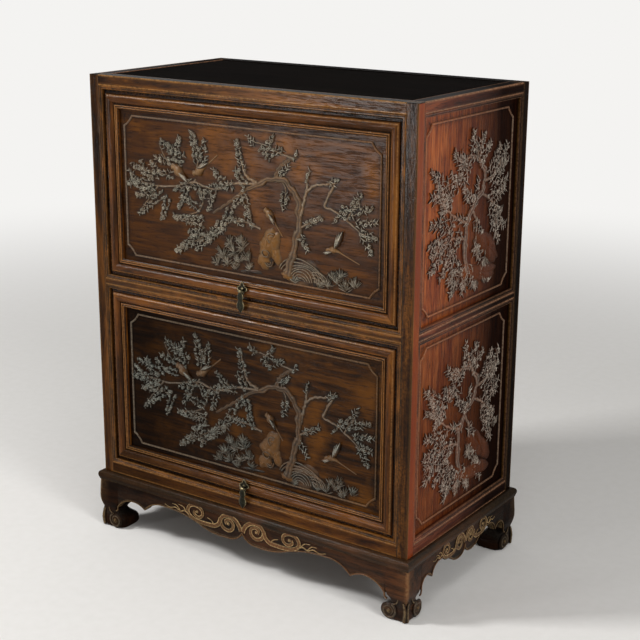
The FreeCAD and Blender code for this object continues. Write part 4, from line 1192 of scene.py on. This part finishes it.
    def board(self, marks: Array) -> Solid:
        """Ground of the field: a slab whose face waves by a tenth of a millimetre, darker by the carving.

        The darkening, which is painted shade with a little dust, is the count of the carving's places, spread
        by a bell curve along both ways; grime with painted shade also darkens a band along the border's line.

        Args:
            marks: Places of the carving.

        Returns:
            Points (along, up, out), faces and patina.
        """
        along, up = (np.linspace(-half, half, int(2 * half / BOARD_CELL))
                     for half in (self.half_width, self.half_height))
        edges = [np.append(line - (line[1] - line[0]) / 2, line[-1] + 1) for line in (along, up)]
        seen = np.histogram2d(self.way * marks[:, 0], marks[:, 1], bins=edges)[0]
        spread = [bell(line[:, None] - line[None], 4.5) for line in (along, up)]
        dust = spread[0] @ seen @ spread[1]
        a, u = along[:, None], up[None]
        slow, quick = a * 0.13 + 2 * np.sin(u * 0.09), u * 0.31 + 1.5 * np.sin(a * 0.07)
        wave = 0.07 * np.sin(slow) + 0.03 * np.sin(quick)
        edge = bell(np.minimum(self.half_width - abs(a), self.half_height - abs(u)) - self.inset, 5)
        out = np.concatenate([wave * (1 - edge), np.full((len(along), 2), -self.thickness)], 1)
        level = np.append(up, [self.half_height, -self.half_height])
        # Dust and painted shade near the carving, and grime with painted shade along the border's line.
        layers = (np.clip(dust * 0.03, 0, 0.12), 0 * dust, np.clip(dust * 0.28, 0, 1.1) + 0.95 * edge,
                  0 * dust)
        patina = grid(*(np.pad(layer, ((0, 0), (0, 2))) for layer in layers))
        return grid(a, level, out), ring_faces(len(along), len(level)), patina

    def border(self) -> Solid:
        """Raised border with cut corners that bow inwards, with a painted highlight on one side.

        Its line goes round the four corners, and a half-round is carried along it.

        Returns:
            Points in the cabinet's frame, faces and patina.
        """
        wide, tall = self.half_width - self.inset, self.half_height - self.inset
        corner, bow = self.border_corner, self.border_bow
        steps = []
        for x, y in ((1, -1), (1, 1), (-1, 1), (-1, -1)):
            ends = ((x * (wide - corner), y * tall), (x * wide, y * (tall - corner)))
            first, last = ends if x * y < 0 else ends[::-1]
            steps += [first, ((x * (wide - bow), y * (tall - bow)), last)]
        # The line starts at its own last point, below the left corner, so that both ends meet.
        path = trace([steps[-1][1]] + steps)[:-1]
        section = Section.cut([(-1.7, 0.3), (-1.1, -1.5), ((0, -2.0), (1.1, -1.5)), (1.7, 0.3)], soft=0.3,
                              longest=1.2, reach=0.9)
        # Painted shade at its foot, and dust with rubbing on the top, which is also a painted highlight.
        low = section.points[:, 1:] > -0.6
        section.patina[:, :3] = np.where(low, (0.0, 0.0, 1.0), (0.25, 0.45, 0.0))
        points, faces, patina = loop_moulding(self.surface, path, section)
        # Painted highlight: the pale dust is raised up to 3.4 times near a door's left side and a side
        # field's rear side.
        across = -points[:, 0] / self.half_width if self.at_front else points[:, 1] / self.half_width
        patina[:, 0] *= 1 + 2.4 * np.clip(8 * across - 6.6, 0, 1)
        return points, faces, patina

    def build(self) -> None:
        """Make the ground, border, timber, foliage and creatures of the field."""
        leaves, leaf_marks = self.foliage()
        wood, wood_marks = self.timber()
        board = self.board(np.concatenate([leaf_marks, wood_marks]))
        make(f"{self.name}_ground", self.body, self.ground, self.grain, [self.surface.settle(board)],
             (self.node,))
        make(f"{self.name}_border", self.body, self.ground, self.grain, [self.border()])
        for kind, solids in (("boughs", wood), ("leaves_and_blossoms", leaves),
                             ("birds_and_rocks", self.creatures())):
            make(f"{self.name}_{kind}", self.body, self.carved, self.grain,
                 [self.surface.settle(solid, self.way) for solid in solids], (self.node,), crease=70)


# Doors and pulls


@dataclass(frozen=True)
class Pull:
    """Lobed plate, bent wire staple and gourd-shaped pendant of one door."""

    tier: str
    axis_height: float
    plate_y: float = -165.0
    axis_y: float = -170.8
    staple_half: float = 4.5
    wire_radius: float = 1.1
    length: float = 33.0
    gourd_half: float = 7.2
    gourd_thickness: float = 1.4

    def plate(self) -> Solid:
        """Plate whose radius is a mean, a wave of four lobes and a point at the top, with a rim and a boss.

        Returns:
            Points (along, up, out), faces and patina.
        """
        angle = full_turn(48)
        edge = 8.3 + 1.7 * np.cos(4 * angle) + 2.4 * bell(angle - np.pi / 2, 0.17)
        share = np.array([0.05, 0.3, 0.38, 0.48, 0.72, 0.84, 0.93, 1.0, 1.0])[:, None]
        level = np.array([1.5, 1.45, 1.1, 0.75, 0.8, 1.35, 1.45, 1.0, 0.0])[:, None]
        flat = share[..., None] * (edge[:, None] * spoke(angle))[None]
        rub = np.clip(level - 1.2, 0, 1) * 2.8 * (share > 0.5) + 0.6 * (share < 0.1)
        hollow = ((level < 0.85) & (share < 1)) * 0.8
        return raised(flat, level), ring_faces(len(share), 48), grid(0 * edge, rub, hollow, 0)

    def staple(self) -> Solid:
        """Bent wire: a round section carried along a smooth path of two legs and a bar.

        Returns:
            Points in the cabinet's frame, faces and patina.
        """
        half, reach = self.staple_half, self.plate_y - 0.6 - self.axis_y
        corners = np.array([(-half, reach), (-half, 1.6), (-half, 0.35), (-half + 0.9, 0), (0, 0),
                            (half - 0.9, 0), (half, 0.35), (half, 1.6), (half, reach)], float)
        path = smooth_path(corners, 4)
        ring = self.wire_radius * spoke(full_turn(12))
        flat = path[:, None] + ring[None, :, :1] * leftward(unit(np.gradient(path, axis=0)))[:, None]
        points = grid(flat[..., 0], self.axis_y + flat[..., 1], self.axis_height + ring[:, 1])
        return points, ring_faces(len(path), 12), np.tile((0, 0.35, 0.2, 0), (len(points), 1))

    def gourd(self) -> Solid:
        """Pendant leaf: flattened rings whose half width follows the gourd's outline down its length.

        Returns:
            Points in the cabinet's frame, faces and patina.
        """
        drop = np.array([0.04, 0.08, 0.14, 0.22, 0.3, 0.36, 0.41, 0.48, 0.57, 0.66, 0.76, 0.84, 0.9, 0.95,
                         0.985, 1.0])[:, None]
        half = np.array([0.3, 0.45, 0.66, 0.8, 0.82, 0.7, 0.56, 0.66, 0.9, 1.0, 0.96, 0.76, 0.5, 0.36, 0.22,
                         0.03])[:, None]
        angle = full_turn(24)
        ridge = 0.65 + 0.35 * np.abs(np.sin(angle)) ** 6
        swell = np.sign(np.sin(angle)) * np.abs(np.sin(angle)) ** 0.7 * ridge
        thick = swell * self.gourd_thickness * np.clip(half * 2.4, 0.2, 1)
        points = grid(half * self.gourd_half * np.cos(angle), self.axis_y + thick,
                      self.axis_height - drop * self.length)
        rub = np.abs(np.cos(angle)) ** 10 * np.clip(half * 1.2, 0, 1) * 0.9
        return points, ring_faces(len(drop), 24), grid(0, rub, 0.7 * bell(drop - 0.41, 0.05), 0)

    def eye(self) -> Solid:
        """Eye of the pendant round the bar: a ring section carried about the bar's axis.

        Returns:
            Points in the cabinet's frame, faces and patina.
        """
        turn = full_turn(28)[:, None]
        across = np.array([-3.05, -3.05, -2.2, 2.2, 3.05, 3.05])
        radius = np.array([1.25, 2.0, 2.5, 2.5, 2.0, 1.25])
        points = grid(across, self.axis_y + radius * np.cos(turn), self.axis_height + radius * np.sin(turn))
        return points, ring_faces(28, 6, looped=True), np.tile((0, 0.4, 0.1, 0), (len(points), 1))

    def build(self) -> None:
        """Make the plate, the staple and the pendant."""
        door, front = f"{self.tier}_door", Surface(Face.FRONT, (0, self.plate_y, self.axis_height + 3.25))
        for name, body, solids, node, crease in (
                ("lobed_plate", door, [front.settle(self.plate())], "plate", 42),
                ("wire_staple", door, [self.staple()], "staple", 60),
                ("gourd", f"{self.tier}_pendant", [self.gourd(), self.eye()], "pendant", 60)):
            make(f"{self.tier}_pull_{name}", body, BRONZE, Grain.CURLED, solids,
                 (f"{self.tier}_pull_{node}",), crease)


@dataclass(frozen=True)
class Door:
    """One door: four mitred, moulded members round a carved field, and its pull."""

    tier: str
    bottom: float
    ground: AgedHardwood
    carved: AgedHardwood
    seed: int
    half_width: float = 275.0
    height: float = 296.9
    front: float = -165.0
    frame: float = 28.0
    field_depth: float = 10.0
    pull_height: float = 15.0

    def section(self) -> Section:
        """Moulding of the frame: outer step, round pillow, groove and two small beads.

        Painted shade with grime darkens the outer step, the groove and both sides of each bead, and rubbing,
        which is also a painted highlight, lightens the ridges.

        Returns:
            The section.
        """
        section = Section.cut([(0, 6), (4, 6), ((12, 0), (20, 6)), (21.2, 5.2), ((22.6, 3.4), (24.0, 5.2)),
                               ((25.4, 3.4), (26.8, 5.2)), (28, 6), (28, 20), (0, 20)],
                              soft=0.3, longest=0.8, reach=0.8, keep=(0.2, 0.5, 1, 1))
        inward, depth = section.points.T
        for column, strength, lines in (
                (2, 1.5, ((1.5, 2.0), (4.2, 0.8), (20.2, 1.0), (24.2, 0.6), (27.6, 0.8))),
                (1, 0.85, ((7.2, 0.9), (22.6, 0.7), (25.9, 0.7)))):
            for line, width in lines:
                mark = strength * bell(inward - line, width) * (depth < 7)
                section.patina[:, column] = np.maximum(section.patina[:, column], mark)
        return section

    def build(self) -> None:
        """Make the frame's members, the carved field and the pull."""
        surface, section = Surface(Face.FRONT, (0, self.front, 0)), self.section()
        door = f"{self.tier}_door"
        half, low, high = self.half_width, self.bottom, self.bottom + self.height
        for word, start, way, inward, length, grain in (
                ("left_stile", (-half, low), (0, 1), (1, 0), self.height, Grain.ALONG_Z),
                ("top_rail", (-half, high), (1, 0), (0, -1), 2 * half, Grain.ALONG_X),
                ("right_stile", (half, low), (0, 1), (-1, 0), self.height, Grain.ALONG_Z),
                ("bottom_rail", (-half, low), (1, 0), (0, 1), 2 * half, Grain.ALONG_X)):
            run = Run(surface, start, way, inward, length, mitre=1.0)
            finish = LOW_FRAME_WOOD if (self.tier, word) == ("lower", "bottom_rail") else FRAME_WOOD
            make(f"{door}_moulded_{word}", door, finish, grain, [run.carry(section)], (f"{door}_{word}",))
        field = Surface(Face.FRONT, (0, self.front + self.field_depth, (low + high) / 2))
        CarvedField(name=f"{door}_field", surface=field,
                    half_width=half - self.frame, half_height=self.height / 2 - self.frame, thickness=6.0,
                    inset=9.0, node=f"{door}_panel", body=door, tree=DOOR_TREE, ground=self.ground,
                    carved=self.carved, grain=Grain.ALONG_X, seed=self.seed).build()
        Pull(self.tier, low + self.pull_height).build()


# The stand


@dataclass(frozen=True)
class Stand:
    """Shouldered base rails, cusped aprons with scrolls, and legs with volute feet.

    The apron's arcs are middles and ends in shares of the half span and of the drop. A line of the scroll
    carving runs from the middle outwards and has a first and a last girth.
    """

    half_width: float = 309.0
    half_depth: float = 174.0
    top: float = 101.0
    rail_bottom: float = 85.0
    waist: float = 2.0
    leg: float = 42.0
    foot_depth: float = 4.2
    apron: float = 47.0
    apron_arcs: tuple = (((0.034, 0.66), (0.112, 0.772)), ((0.225, 0.755), (0.330, 0.589)),
                         ((0.464, 0.394), (0.603, 0.343)), ((0.708, 0.447), (0.772, 0.726)),
                         ((0.884, 0.553), (1.000, 0.936)))
    scroll_lines: tuple = (
        (((2, 68), (5, 76), (12, 84), (24, 89), (37, 86), (43, 77), (39, 67), (28, 63), (19, 68), (18, 77),
          (25, 82), (33, 79), (31, 73)), 4.4, 2.7),
        (((43, 80), (47, 70), (56, 64), (70, 63), (84, 63), (98, 65), (109, 71), (111, 80), (104, 88),
          (92, 89), (82, 84), (81, 75), (89, 70), (98, 74), (97, 80)), 4.4, 2.7),
        (((109, 70), (118, 74), (128, 71), (138, 75), (150, 72), (161, 75)), 2.0, 0.9),
        (((115, 73), (121, 80), (132, 82)), 1.8, 0.8),
        (((128, 72), (135, 79), (145, 80)), 1.8, 0.8),
        (((56, 64), (62, 71), (71, 74)), 1.9, 0.8),
    )

    def sides(self) -> tuple:
        """Each side's name, face, distance of its plane, half span and direction of the fibres."""
        return (("front", Face.FRONT, self.half_depth, self.half_width, Grain.ALONG_X),
                ("rear", Face.REAR, self.half_depth, self.half_width, Grain.ALONG_X),
                ("right", Face.RIGHT, self.half_width, self.half_depth, Grain.ALONG_Y),
                ("left", Face.LEFT, self.half_width, self.half_depth, Grain.ALONG_Y))

    def plane(self, face: Face, distance: float) -> Surface:
        """Surface of one side at the given distance from the middle, measured from the floor."""
        return Surface(face, (face.value[2][0] * distance, face.value[2][1] * distance, 0))

    def edge(self, half_span: float) -> Array:
        """Lower edge of an apron from one leg to the other, as arcs mirrored about the middle.

        Args:
            half_span: Half span of the apron.

        Returns:
            Points along and up the side.
        """
        def point(share: tuple) -> tuple:
            """Turn a share of the half span and of the drop into a point."""
            return share[0] * half_span, self.rail_bottom - share[1] * self.apron

        right = trace([point((0, 0.43))] + [(point(middle), point(end)) for middle, end in self.apron_arcs])
        return np.concatenate([right[:0:-1] * (-1, 1), right])

    def build_rails(self) -> None:
        """Make the four mitred rails: round shoulder above, then a slow curve in to the apron."""
        section = Section.cut([(60, 0), (60, 16), (self.waist, 16), ((1.6, 13.8), (0.9, 12)),
                               ((0.25, 9.8), (0, 7.5)), ((2.197, 2.197), (7.5, 0))],
                              soft=0.8, longest=3.0, reach=3.0, keep=(0, 0.08, 0.3, 1))
        for word, face, distance, span, grain in self.sides():
            way, out = (np.array(face.value[k][:2], float) for k in (0, 2))
            run = Run(Surface(Face.TOP, (0, 0, self.top)), out * distance - way * span, way, -out, 2 * span,
                      mitre=1.0)
            make(f"{word}_shoulder_rail", "cabinet", STAND_WOOD, grain, [run.carry(section)],
                 (f"{word}_base_rail",))

    def build_aprons(self) -> None:
        """Make the aprons: upright sections between the lower edge and the rail, rounded at the edge."""
        depth = np.array([0.0, 0, 0, 0, 0.3, 1.2, 3.0, 13, 13, 13.0])
        rise = np.array([1.0, 0.5, 0.15, 0, 0, 0, 0, 0, 0.5, 1.0])
        lift = np.array([0.0, 0, 0, 3.0, 1.2, 0.3, 0, 0, 0, 0])
        # Each row's dust, rubbing, grime and tone: rubbing that is also a painted highlight on the rounded
        # lower edge, and grime with painted shade under it and on the hidden back.
        row = np.array([(0, 0, 0, 0)] + [(0.05, 0, 0, 0)] * 2 + [(0.2, 0.2, 0.2, 0), (0, 0.5, 0, 0)]
                       + [(0, 0.3, 0, 0)] * 2 + [(0.2, 0, 0.5, 0)] * 3, float)
        for word, face, distance, span, grain in self.sides():
            edge = self.edge(span - self.leg)
            height = edge[:, 1:] + lift + rise * (self.rail_bottom - edge[:, 1:] - 3.0 * (lift > 0))
            points = grid(edge[:, :1], np.minimum(height, self.rail_bottom), -depth - self.waist)
            solid = (points, ring_faces(len(edge), 10), np.tile(row, (len(edge), 1)))
            make(f"{word}_cusped_apron", "cabinet", STAND_WOOD, grain,
                 [self.plane(face, distance).settle(solid)], (f"{word}_apron",), crease=55)

    def build_edge_beads(self) -> None:
        """Make the thin bead that follows each apron's lower edge down to the ankles of its legs."""
        for word, face, distance, span, grain in self.sides():
            half = span - self.leg
            ankle = np.array([(half + 0.2, 38.0), (half + 1.5, 35.5), (half + 4.5, 33.6)])
            path = np.concatenate([ankle[::-1] * (-1, 1), self.edge(half) + (0, 1.6), ankle])
            solid = self.plane(face, distance - self.waist).settle(tubes(path, 1.5, wear=(0.0, 0.3, 0.3)))
            make(f"{word}_apron_edge_bead", "cabinet", STAND_WOOD, grain, [solid], crease=70)

    def scrolls(self, half_span: float) -> list[Solid]:
        """Scroll carving: ribs along smooth lines, mirrored about the middle, with bosses in the eyes.

        A broad line is a low warm band with a ridge along each edge that carries a painted highlight,
        stronger on one side. The lines are scaled along the side and about a middle height where the apron is
        short, and each lies on a wide low rib that is darkened as a painted shadow.

        Args:
            half_span: Half span of the apron.

        Returns:
            Ribs and bosses in measures along and up the side.
        """
        scale = np.array([1.0, 1.0]) if half_span > 200 else np.array([0.62, 0.85])
        middle = np.array([0.0, 78.0])
        solids: list[Solid] = []
        for sign in (1, -1):
            for points, first, last in self.scroll_lines:
                path = (middle + (smooth_path(points) - middle) * scale) * (sign, 1)
                girth = np.linspace(first, last, len(path)) * scale[1]
                # Painted shadow: a wide low rib round the line, darkened below.
                solids.append(tubes(path, girth + 1.2, rise=0.08))
                aside = leftward(unit(np.gradient(path, axis=0)))
                banded = first > 2.5
                if banded:
                    solids.append(tubes(path, girth, rise=0.42, wear=(0.0, 0.2, 0.5), keen=1.5))
                thin, lift = (0.34, 0.35) if banded else (1.0, 0.0)
                # Painted highlight along each edge ridge, stronger on the first.
                for edge, light in (((-0.68, 0.95), (0.68, 0.55)) if banded else ((0.0, 0.8),)):
                    solids.append(tubes(path + edge * girth[:, None] * aside, girth * thin, rise=0.9,
                                        lift=lift, wear=(0.0, light, 0.0), keen=2.0))
            for eye, radius in (((28, 74.5), 3.2), ((92.5, 78.5), 3.0), ((0, 74), 3.4)):
                centre = (middle + (np.array(eye) - middle) * scale) * (sign, 1)
                solids.append(dome(centre, (radius * scale[1],) * 2, 1.8, (0.1, 1.0, 0.0)))
        # Painted shadow: every rib lower than 0.6 mm, which is the wide rib round a line, is darkened all
        # over.
        for points, faces, patina in solids:
            patina[:, 2] = np.where(points[:, 2].max() < 0.6, 0.9, patina[:, 2])
        return solids

    def build_scrolls(self) -> None:
        """Make the scroll carving of each apron."""
        for word, face, distance, span, grain in self.sides():
            plane = self.plane(face, distance - self.waist - 0.1)
            make(f"{word}_apron_scrolls", "cabinet", STAND_WOOD, Grain.CURLED,
                 [plane.settle(solid) for solid in self.scrolls(span - self.leg)], crease=70)

    def leg_solid(self, sign_x: int, sign_y: int) -> Solid:
        """Leg as soft square rings whose outer and inner faces follow the outline down to the foot.

        A ring is a superellipse: middle plus half size times signed powers of cosine and sine.

        Args:
            sign_x: Side that the leg stands on, minus for left.
            sign_y: Minus for front, plus for rear.

        Returns:
            Points in the cabinet's frame, faces and patina.
        """
        path = smooth_path([  # Height, outer inset, inner extent and how square the ring is.
            (85.0, 2.0, 45, 14), (76, 1.6, 45, 14), (64, 0.9, 45, 13), (54, 0.5, 45, 12),
            (47, 1.0, 42.5, 10), (40, 2.4, 41, 8), (36, 3.6, 38.5, 6), (32, 4.4, 36, 5),
            (28, 4.8, 37, 5), (23, 4.6, 42, 5),
            (18, 4.2, 48, 5), (12, 3.8, 50, 5), (6, 3.8, 50, 5), (2, 4.6, 49, 4), (0.2, 6.5, 46, 4)], 3)
        height, outer, inner, square = path.T[..., None]
        half, middle = (inner - outer) / 2, (inner + outer) / 2
        ring_x, ring_y = (middle + half * np.sign(part) * np.abs(part) ** (2 / square)
                          for part in spoke(full_turn(56)).T)
        # The outer faces ease in to the apron's plane where they meet it.
        ease = (self.waist - outer) * np.clip((height - 44) / 8, 0, 1)
        to_front, to_side = (
            ease * np.clip((along - 14) / 28, 0, 1) ** 2 * np.clip(1 - (deep - outer) / 6, 0, 1)
            for along, deep in ((ring_x, ring_y), (ring_y, ring_x)))
        ring_x, ring_y = ring_x + to_side, ring_y + to_front
        points = grid(sign_x * (self.half_width - ring_x), sign_y * (self.half_depth - ring_y), height)
        # The outer corner is rubbed light and warm, which is also a painted highlight; the ankle is darker.
        corner = bell(np.hypot(ring_x - outer, ring_y - outer), 4.5)
        low = bell(height - 26, 7)
        patina = grid(0.1 * low, 0.3 * corner, 0.8 * low, 0.5 * corner)
        return points, ring_faces(len(height), 56), patina

    def foot_carving(self) -> list[Solid]:
        """Volute, boss, brow and toe of one foot face, from the leg's outer corner and the floor.

        The volute is a rib along a spiral with a low dome in its eye, and the toe a rib down the corner.

        Returns:
            Solids in measures along, up and out.
        """
        share = np.linspace(0, 1, 40)
        angle = np.radians(115) + share * 1.35 * 2 * np.pi
        reach = 12.2 * (1 - 0.52 * share)
        spiral = np.stack([34 + reach * np.cos(angle), 14.6 + reach * np.sin(angle)], 1)
        brow = smooth_path([(29.5, 25.5), (24, 27.5), (20.5, 31), (19, 36)])
        toe = smooth_path([(8.0, 1.8), (6.8, 10), (6.4, 18), (8.0, 26), (10, 32)])
        swell = np.interp(np.linspace(0, 1, len(toe)), [0, 0.4, 1], [3.4, 4.0, 1.8])
        return [dome((34, 14.2), (14.5, 13.6), 2.6, (0.1, 0.05, 0.0), foot=0.2),
                tubes(spiral, 2.4 - 0.9 * share, rise=0.95, lift=1.0, wear=(0.35, 0.15, 0.0), keen=4.0),
                dome((34, 14.6), (5.2, 5.2), 4.0, (0.1, 0.35, 0.0)),
                tubes(brow, np.linspace(2.2, 0.9, len(brow)), rise=0.9, wear=(0.2, 0.3, 0.0)),
                tubes(toe, swell, rise=0.55, wear=(0.1, 0.3, 0.0))]

    def build_legs(self) -> None:
        """Make the four legs with their carved feet."""
        for sign_x, x_word in ((-1, "left"), (1, "right")):
            for sign_y, y_word in ((-1, "front"), (1, "rear")):
                solids = [self.leg_solid(sign_x, sign_y)]
                for word, face, distance, span, grain in self.sides():
                    if word not in (x_word, y_word):
                        continue
                    side = int(np.sign(np.asarray(face.value[0][:2]) @ (sign_x, sign_y)))
                    plane = self.plane(face, distance - self.foot_depth)
                    for points, faces, patina in self.foot_carving():
                        moved = points * (-side, 1, 1) + (side * span, 0, 0)
                        solids.append(plane.settle((moved, faces, patina)))
                make(f"{y_word}_{x_word}_scroll_leg", "cabinet", STAND_WOOD, Grain.ALONG_X, solids,
                     (f"{y_word}_{x_word}_leg",), crease=50)


# The whole cabinet and its studio


@dataclass(frozen=True)
class Cabinet:
    """The whole cabinet: case, carved sides, two doors and the stand."""

    case: Case = Case()
    stand: Stand = Stand()
    side_depth: float = 8.0

    def build_sides(self) -> None:
        """Make the four carved fields of the sides."""
        for index, (tier, low, high) in enumerate(self.case.tiers):
            for face, sign, word in ((Face.LEFT, -1, "left"), (Face.RIGHT, 1, "right")):
                surface = Surface(face, (sign * (self.case.half_width - self.side_depth), 0,
                                         (low + high) / 2))
                CarvedField(name=f"{word}_{tier}_side_field", surface=surface,
                            half_width=self.case.half_depth - self.case.post, half_height=(high - low) / 2,
                            thickness=7.0, inset=12.0, node=f"{word}_{tier}_side_panel", body="cabinet",
                            tree=SIDE_TREE, ground=SIDE_WOOD, carved=RED_CARVED_WOOD, grain=Grain.ALONG_Z,
                            seed=40 + index, way=sign).build()

    def dress_frame(self) -> None:
        """Give each node of the frame that stays in sight its finish."""
        plain = {"top_board": TOP_WOOD, "rear_top_rail": CASE_WOOD, "rear_bottom_rail": CASE_WOOD}
        for name, node in frame["nodes"].items():
            if node.hide_render:
                continue
            finish = BRONZE if "pins" in name else plain.get(name, INNER_WOOD)
            node.data.materials.clear()
            node.data.materials.append(finish.dress(Grain.ALONG_Y if "guide" in name else Grain.ALONG_X))
            log.info("%s keeps its shape and is finished as %s", name, finish.label)

    def build(self) -> None:
        """Build every sub-assembly, then dress what is left of the frame."""
        self.case.build_posts()
        self.case.build_rails()
        self.case.build_beads()
        self.build_sides()
        Door("upper", 448.5, GROUND_WOOD, CARVED_WOOD, 11).build()
        Door("lower", 126.6, LOW_GROUND_WOOD, LOW_CARVED_WOOD, 12).build()
        self.stand.build_rails()
        self.stand.build_aprons()
        self.stand.build_edge_beads()
        self.stand.build_scrolls()
        self.stand.build_legs()
        self.dress_frame()


@dataclass(frozen=True)
class Studio:
    """Pale floor, white surroundings, soft lamps and the camera.

    A lamp is its name, its place and the side of its square in metres, and its power in watts. The lamps
    face the aim.
    """

    azimuth: float = 34.57
    elevation: float = 16.32
    roll: float = 0.35
    focal: float = 76.87
    place: tuple[float, float, float] = (1.2299, -1.7426, 1.0029)
    aim: tuple[float, float, float] = (0, 0, 0.42)
    lamps: tuple = (("key_lamp", (-1.75, -1.6, 2.3), 0.5, 58.0),
                    ("low_lamp", (-1.28, -2.45, 0.34), 0.34, 14.0),
                    ("side_lamp", (2.6, -0.9, 1.4), 0.8, 36.0),
                    ("top_lamp", (0.9, -0.9, 2.6), 0.8, 8.0))

    def seen(self, tree: bpy.types.NodeTree) -> bpy.types.Node:
        """Tell one where the eye, a mirror or clear glass looks, and zero for plain light.

        Args:
            tree: Node tree that asks.

        Returns:
            Node whose first output tells it.
        """
        path = add(tree, "LightPath").outputs
        seen = add(tree, "Math", {0: path["Is Camera Ray"], 1: path["Is Glossy Ray"]}, operation="MAXIMUM")
        return add(tree, "Math", {0: seen, 1: path["Is Transmission Ray"]}, operation="MAXIMUM")

    def build_floor(self) -> None:
        """Make the floor: a disc of rings that fades to white far from the cabinet."""
        ring = np.array([0.001, 0.4, 0.8, 1.4, 2.2, 3.4, 6.0, 14.0, 40.0])
        points = raised(ring[:, None, None] * spoke(full_turn(64)), 0.0)
        quads, cap, _ = ring_faces(len(ring), 64)
        mesh = bpy.data.meshes.new("studio_floor")
        mesh.from_pydata(points.tolist(), [], quads[:, ::-1].tolist() + cap[:, ::-1].tolist())
        floor = bpy.data.objects.new("studio_floor", mesh)
        bpy.context.scene.collection.objects.link(floor)
        # Matt painted board: even, very pale, with no gloss.
        material = bpy.data.materials.new("matt_painted_floor")
        tree = emptied(material)
        place = add(tree, "TexCoord").outputs["Object"]
        away = add(tree, "VectorMath", {0: place}, operation="LENGTH").outputs["Value"]
        fade = add(tree, "MapRange", {"Value": away, "From Min": 0.9, "From Max": 3.0},
                   interpolation_type="SMOOTHSTEP")
        amount = add(tree, "Math", {0: fade, 1: self.seen(tree)}, operation="MULTIPLY")
        grit = add(tree, "TexNoise", {"Vector": place, "Scale": 60.0})
        tint = add(tree, "Mix", {0: grit, 6: linear("#e9e7e3"), 7: linear("#f0eeeb")}, data_type="RGBA")
        paint = add(tree, "BsdfPrincipled", {"Base Color": tint.outputs[2], "Roughness": 0.85,
                                             "Specular IOR Level": 0.2})
        white = add(tree, "Emission", {"Color": linear(WHITE), "Strength": 1.0})
        both = add(tree, "MixShader", {0: amount, 1: paint, 2: white})
        add(tree, "OutputMaterial", {"Surface": both})
        mesh.materials.append(material)

    def build_world(self) -> None:
        """Surround the cabinet with white for the eye and a dimmer white for light."""
        world = bpy.data.worlds.new("studio_white")
        tree = emptied(world)
        strength = add(tree, "MapRange", {"Value": self.seen(tree), "To Min": 0.28, "To Max": 1.0})
        sky = add(tree, "Background", {"Color": linear(WHITE), "Strength": strength})
        add(tree, "OutputWorld", {"Surface": sky})
        bpy.context.scene.world = world

    def build_lamps(self) -> None:
        """Add the square soft lamps, each turned towards the aim."""
        for name, place, size, power in self.lamps:
            lamp = bpy.data.lights.new(name, "AREA")
            lamp.energy = power
            lamp.size = size
            holder = bpy.data.objects.new(name, lamp)
            holder.location = place
            ahead = Vector(self.aim) - Vector(place)
            holder.rotation_euler = ahead.to_track_quat("-Z", "Y").to_euler()
            bpy.context.scene.collection.objects.link(holder)

    def build_camera(self) -> None:
        """Set the camera by its azimuth, elevation and roll."""
        turn, tilt, roll = (math.radians(x) for x in (self.azimuth, self.elevation, self.roll))
        ahead = Vector((-math.sin(turn) * math.cos(tilt), math.cos(turn) * math.cos(tilt), -math.sin(tilt)))
        right = ahead.cross(Vector((0, 0, 1))).normalized()
        up = right.cross(ahead)
        level = right * math.cos(roll) + up * math.sin(roll)
        above = up * math.cos(roll) - right * math.sin(roll)
        camera = bpy.data.cameras.new("camera")
        camera.lens = self.focal
        camera.sensor_width = 36.0
        camera.sensor_fit = "HORIZONTAL"
        holder = bpy.data.objects.new("camera", camera)
        pose = Matrix((level, above, -ahead)).transposed().to_4x4()
        pose.translation = Vector(self.place)
        holder.matrix_world = pose
        bpy.context.scene.collection.objects.link(holder)
        bpy.context.scene.camera = holder

    def build(self) -> None:
        """Build the floor, the surroundings, the lamps and the camera."""
        self.build_floor()
        self.build_world()
        self.build_lamps()
        view = bpy.context.scene.view_settings
        view.view_transform = "Standard"
        self.build_camera()


def main() -> None:
    """Build the studio and the cabinet."""
    logging.basicConfig(level=logging.INFO, format="%(name)s: %(message)s")
    Studio().build()
    Cabinet().build()
    bpy.context.view_layer.update()
    log.info("all pieces are made")


if __name__ == "__main__":
    main()
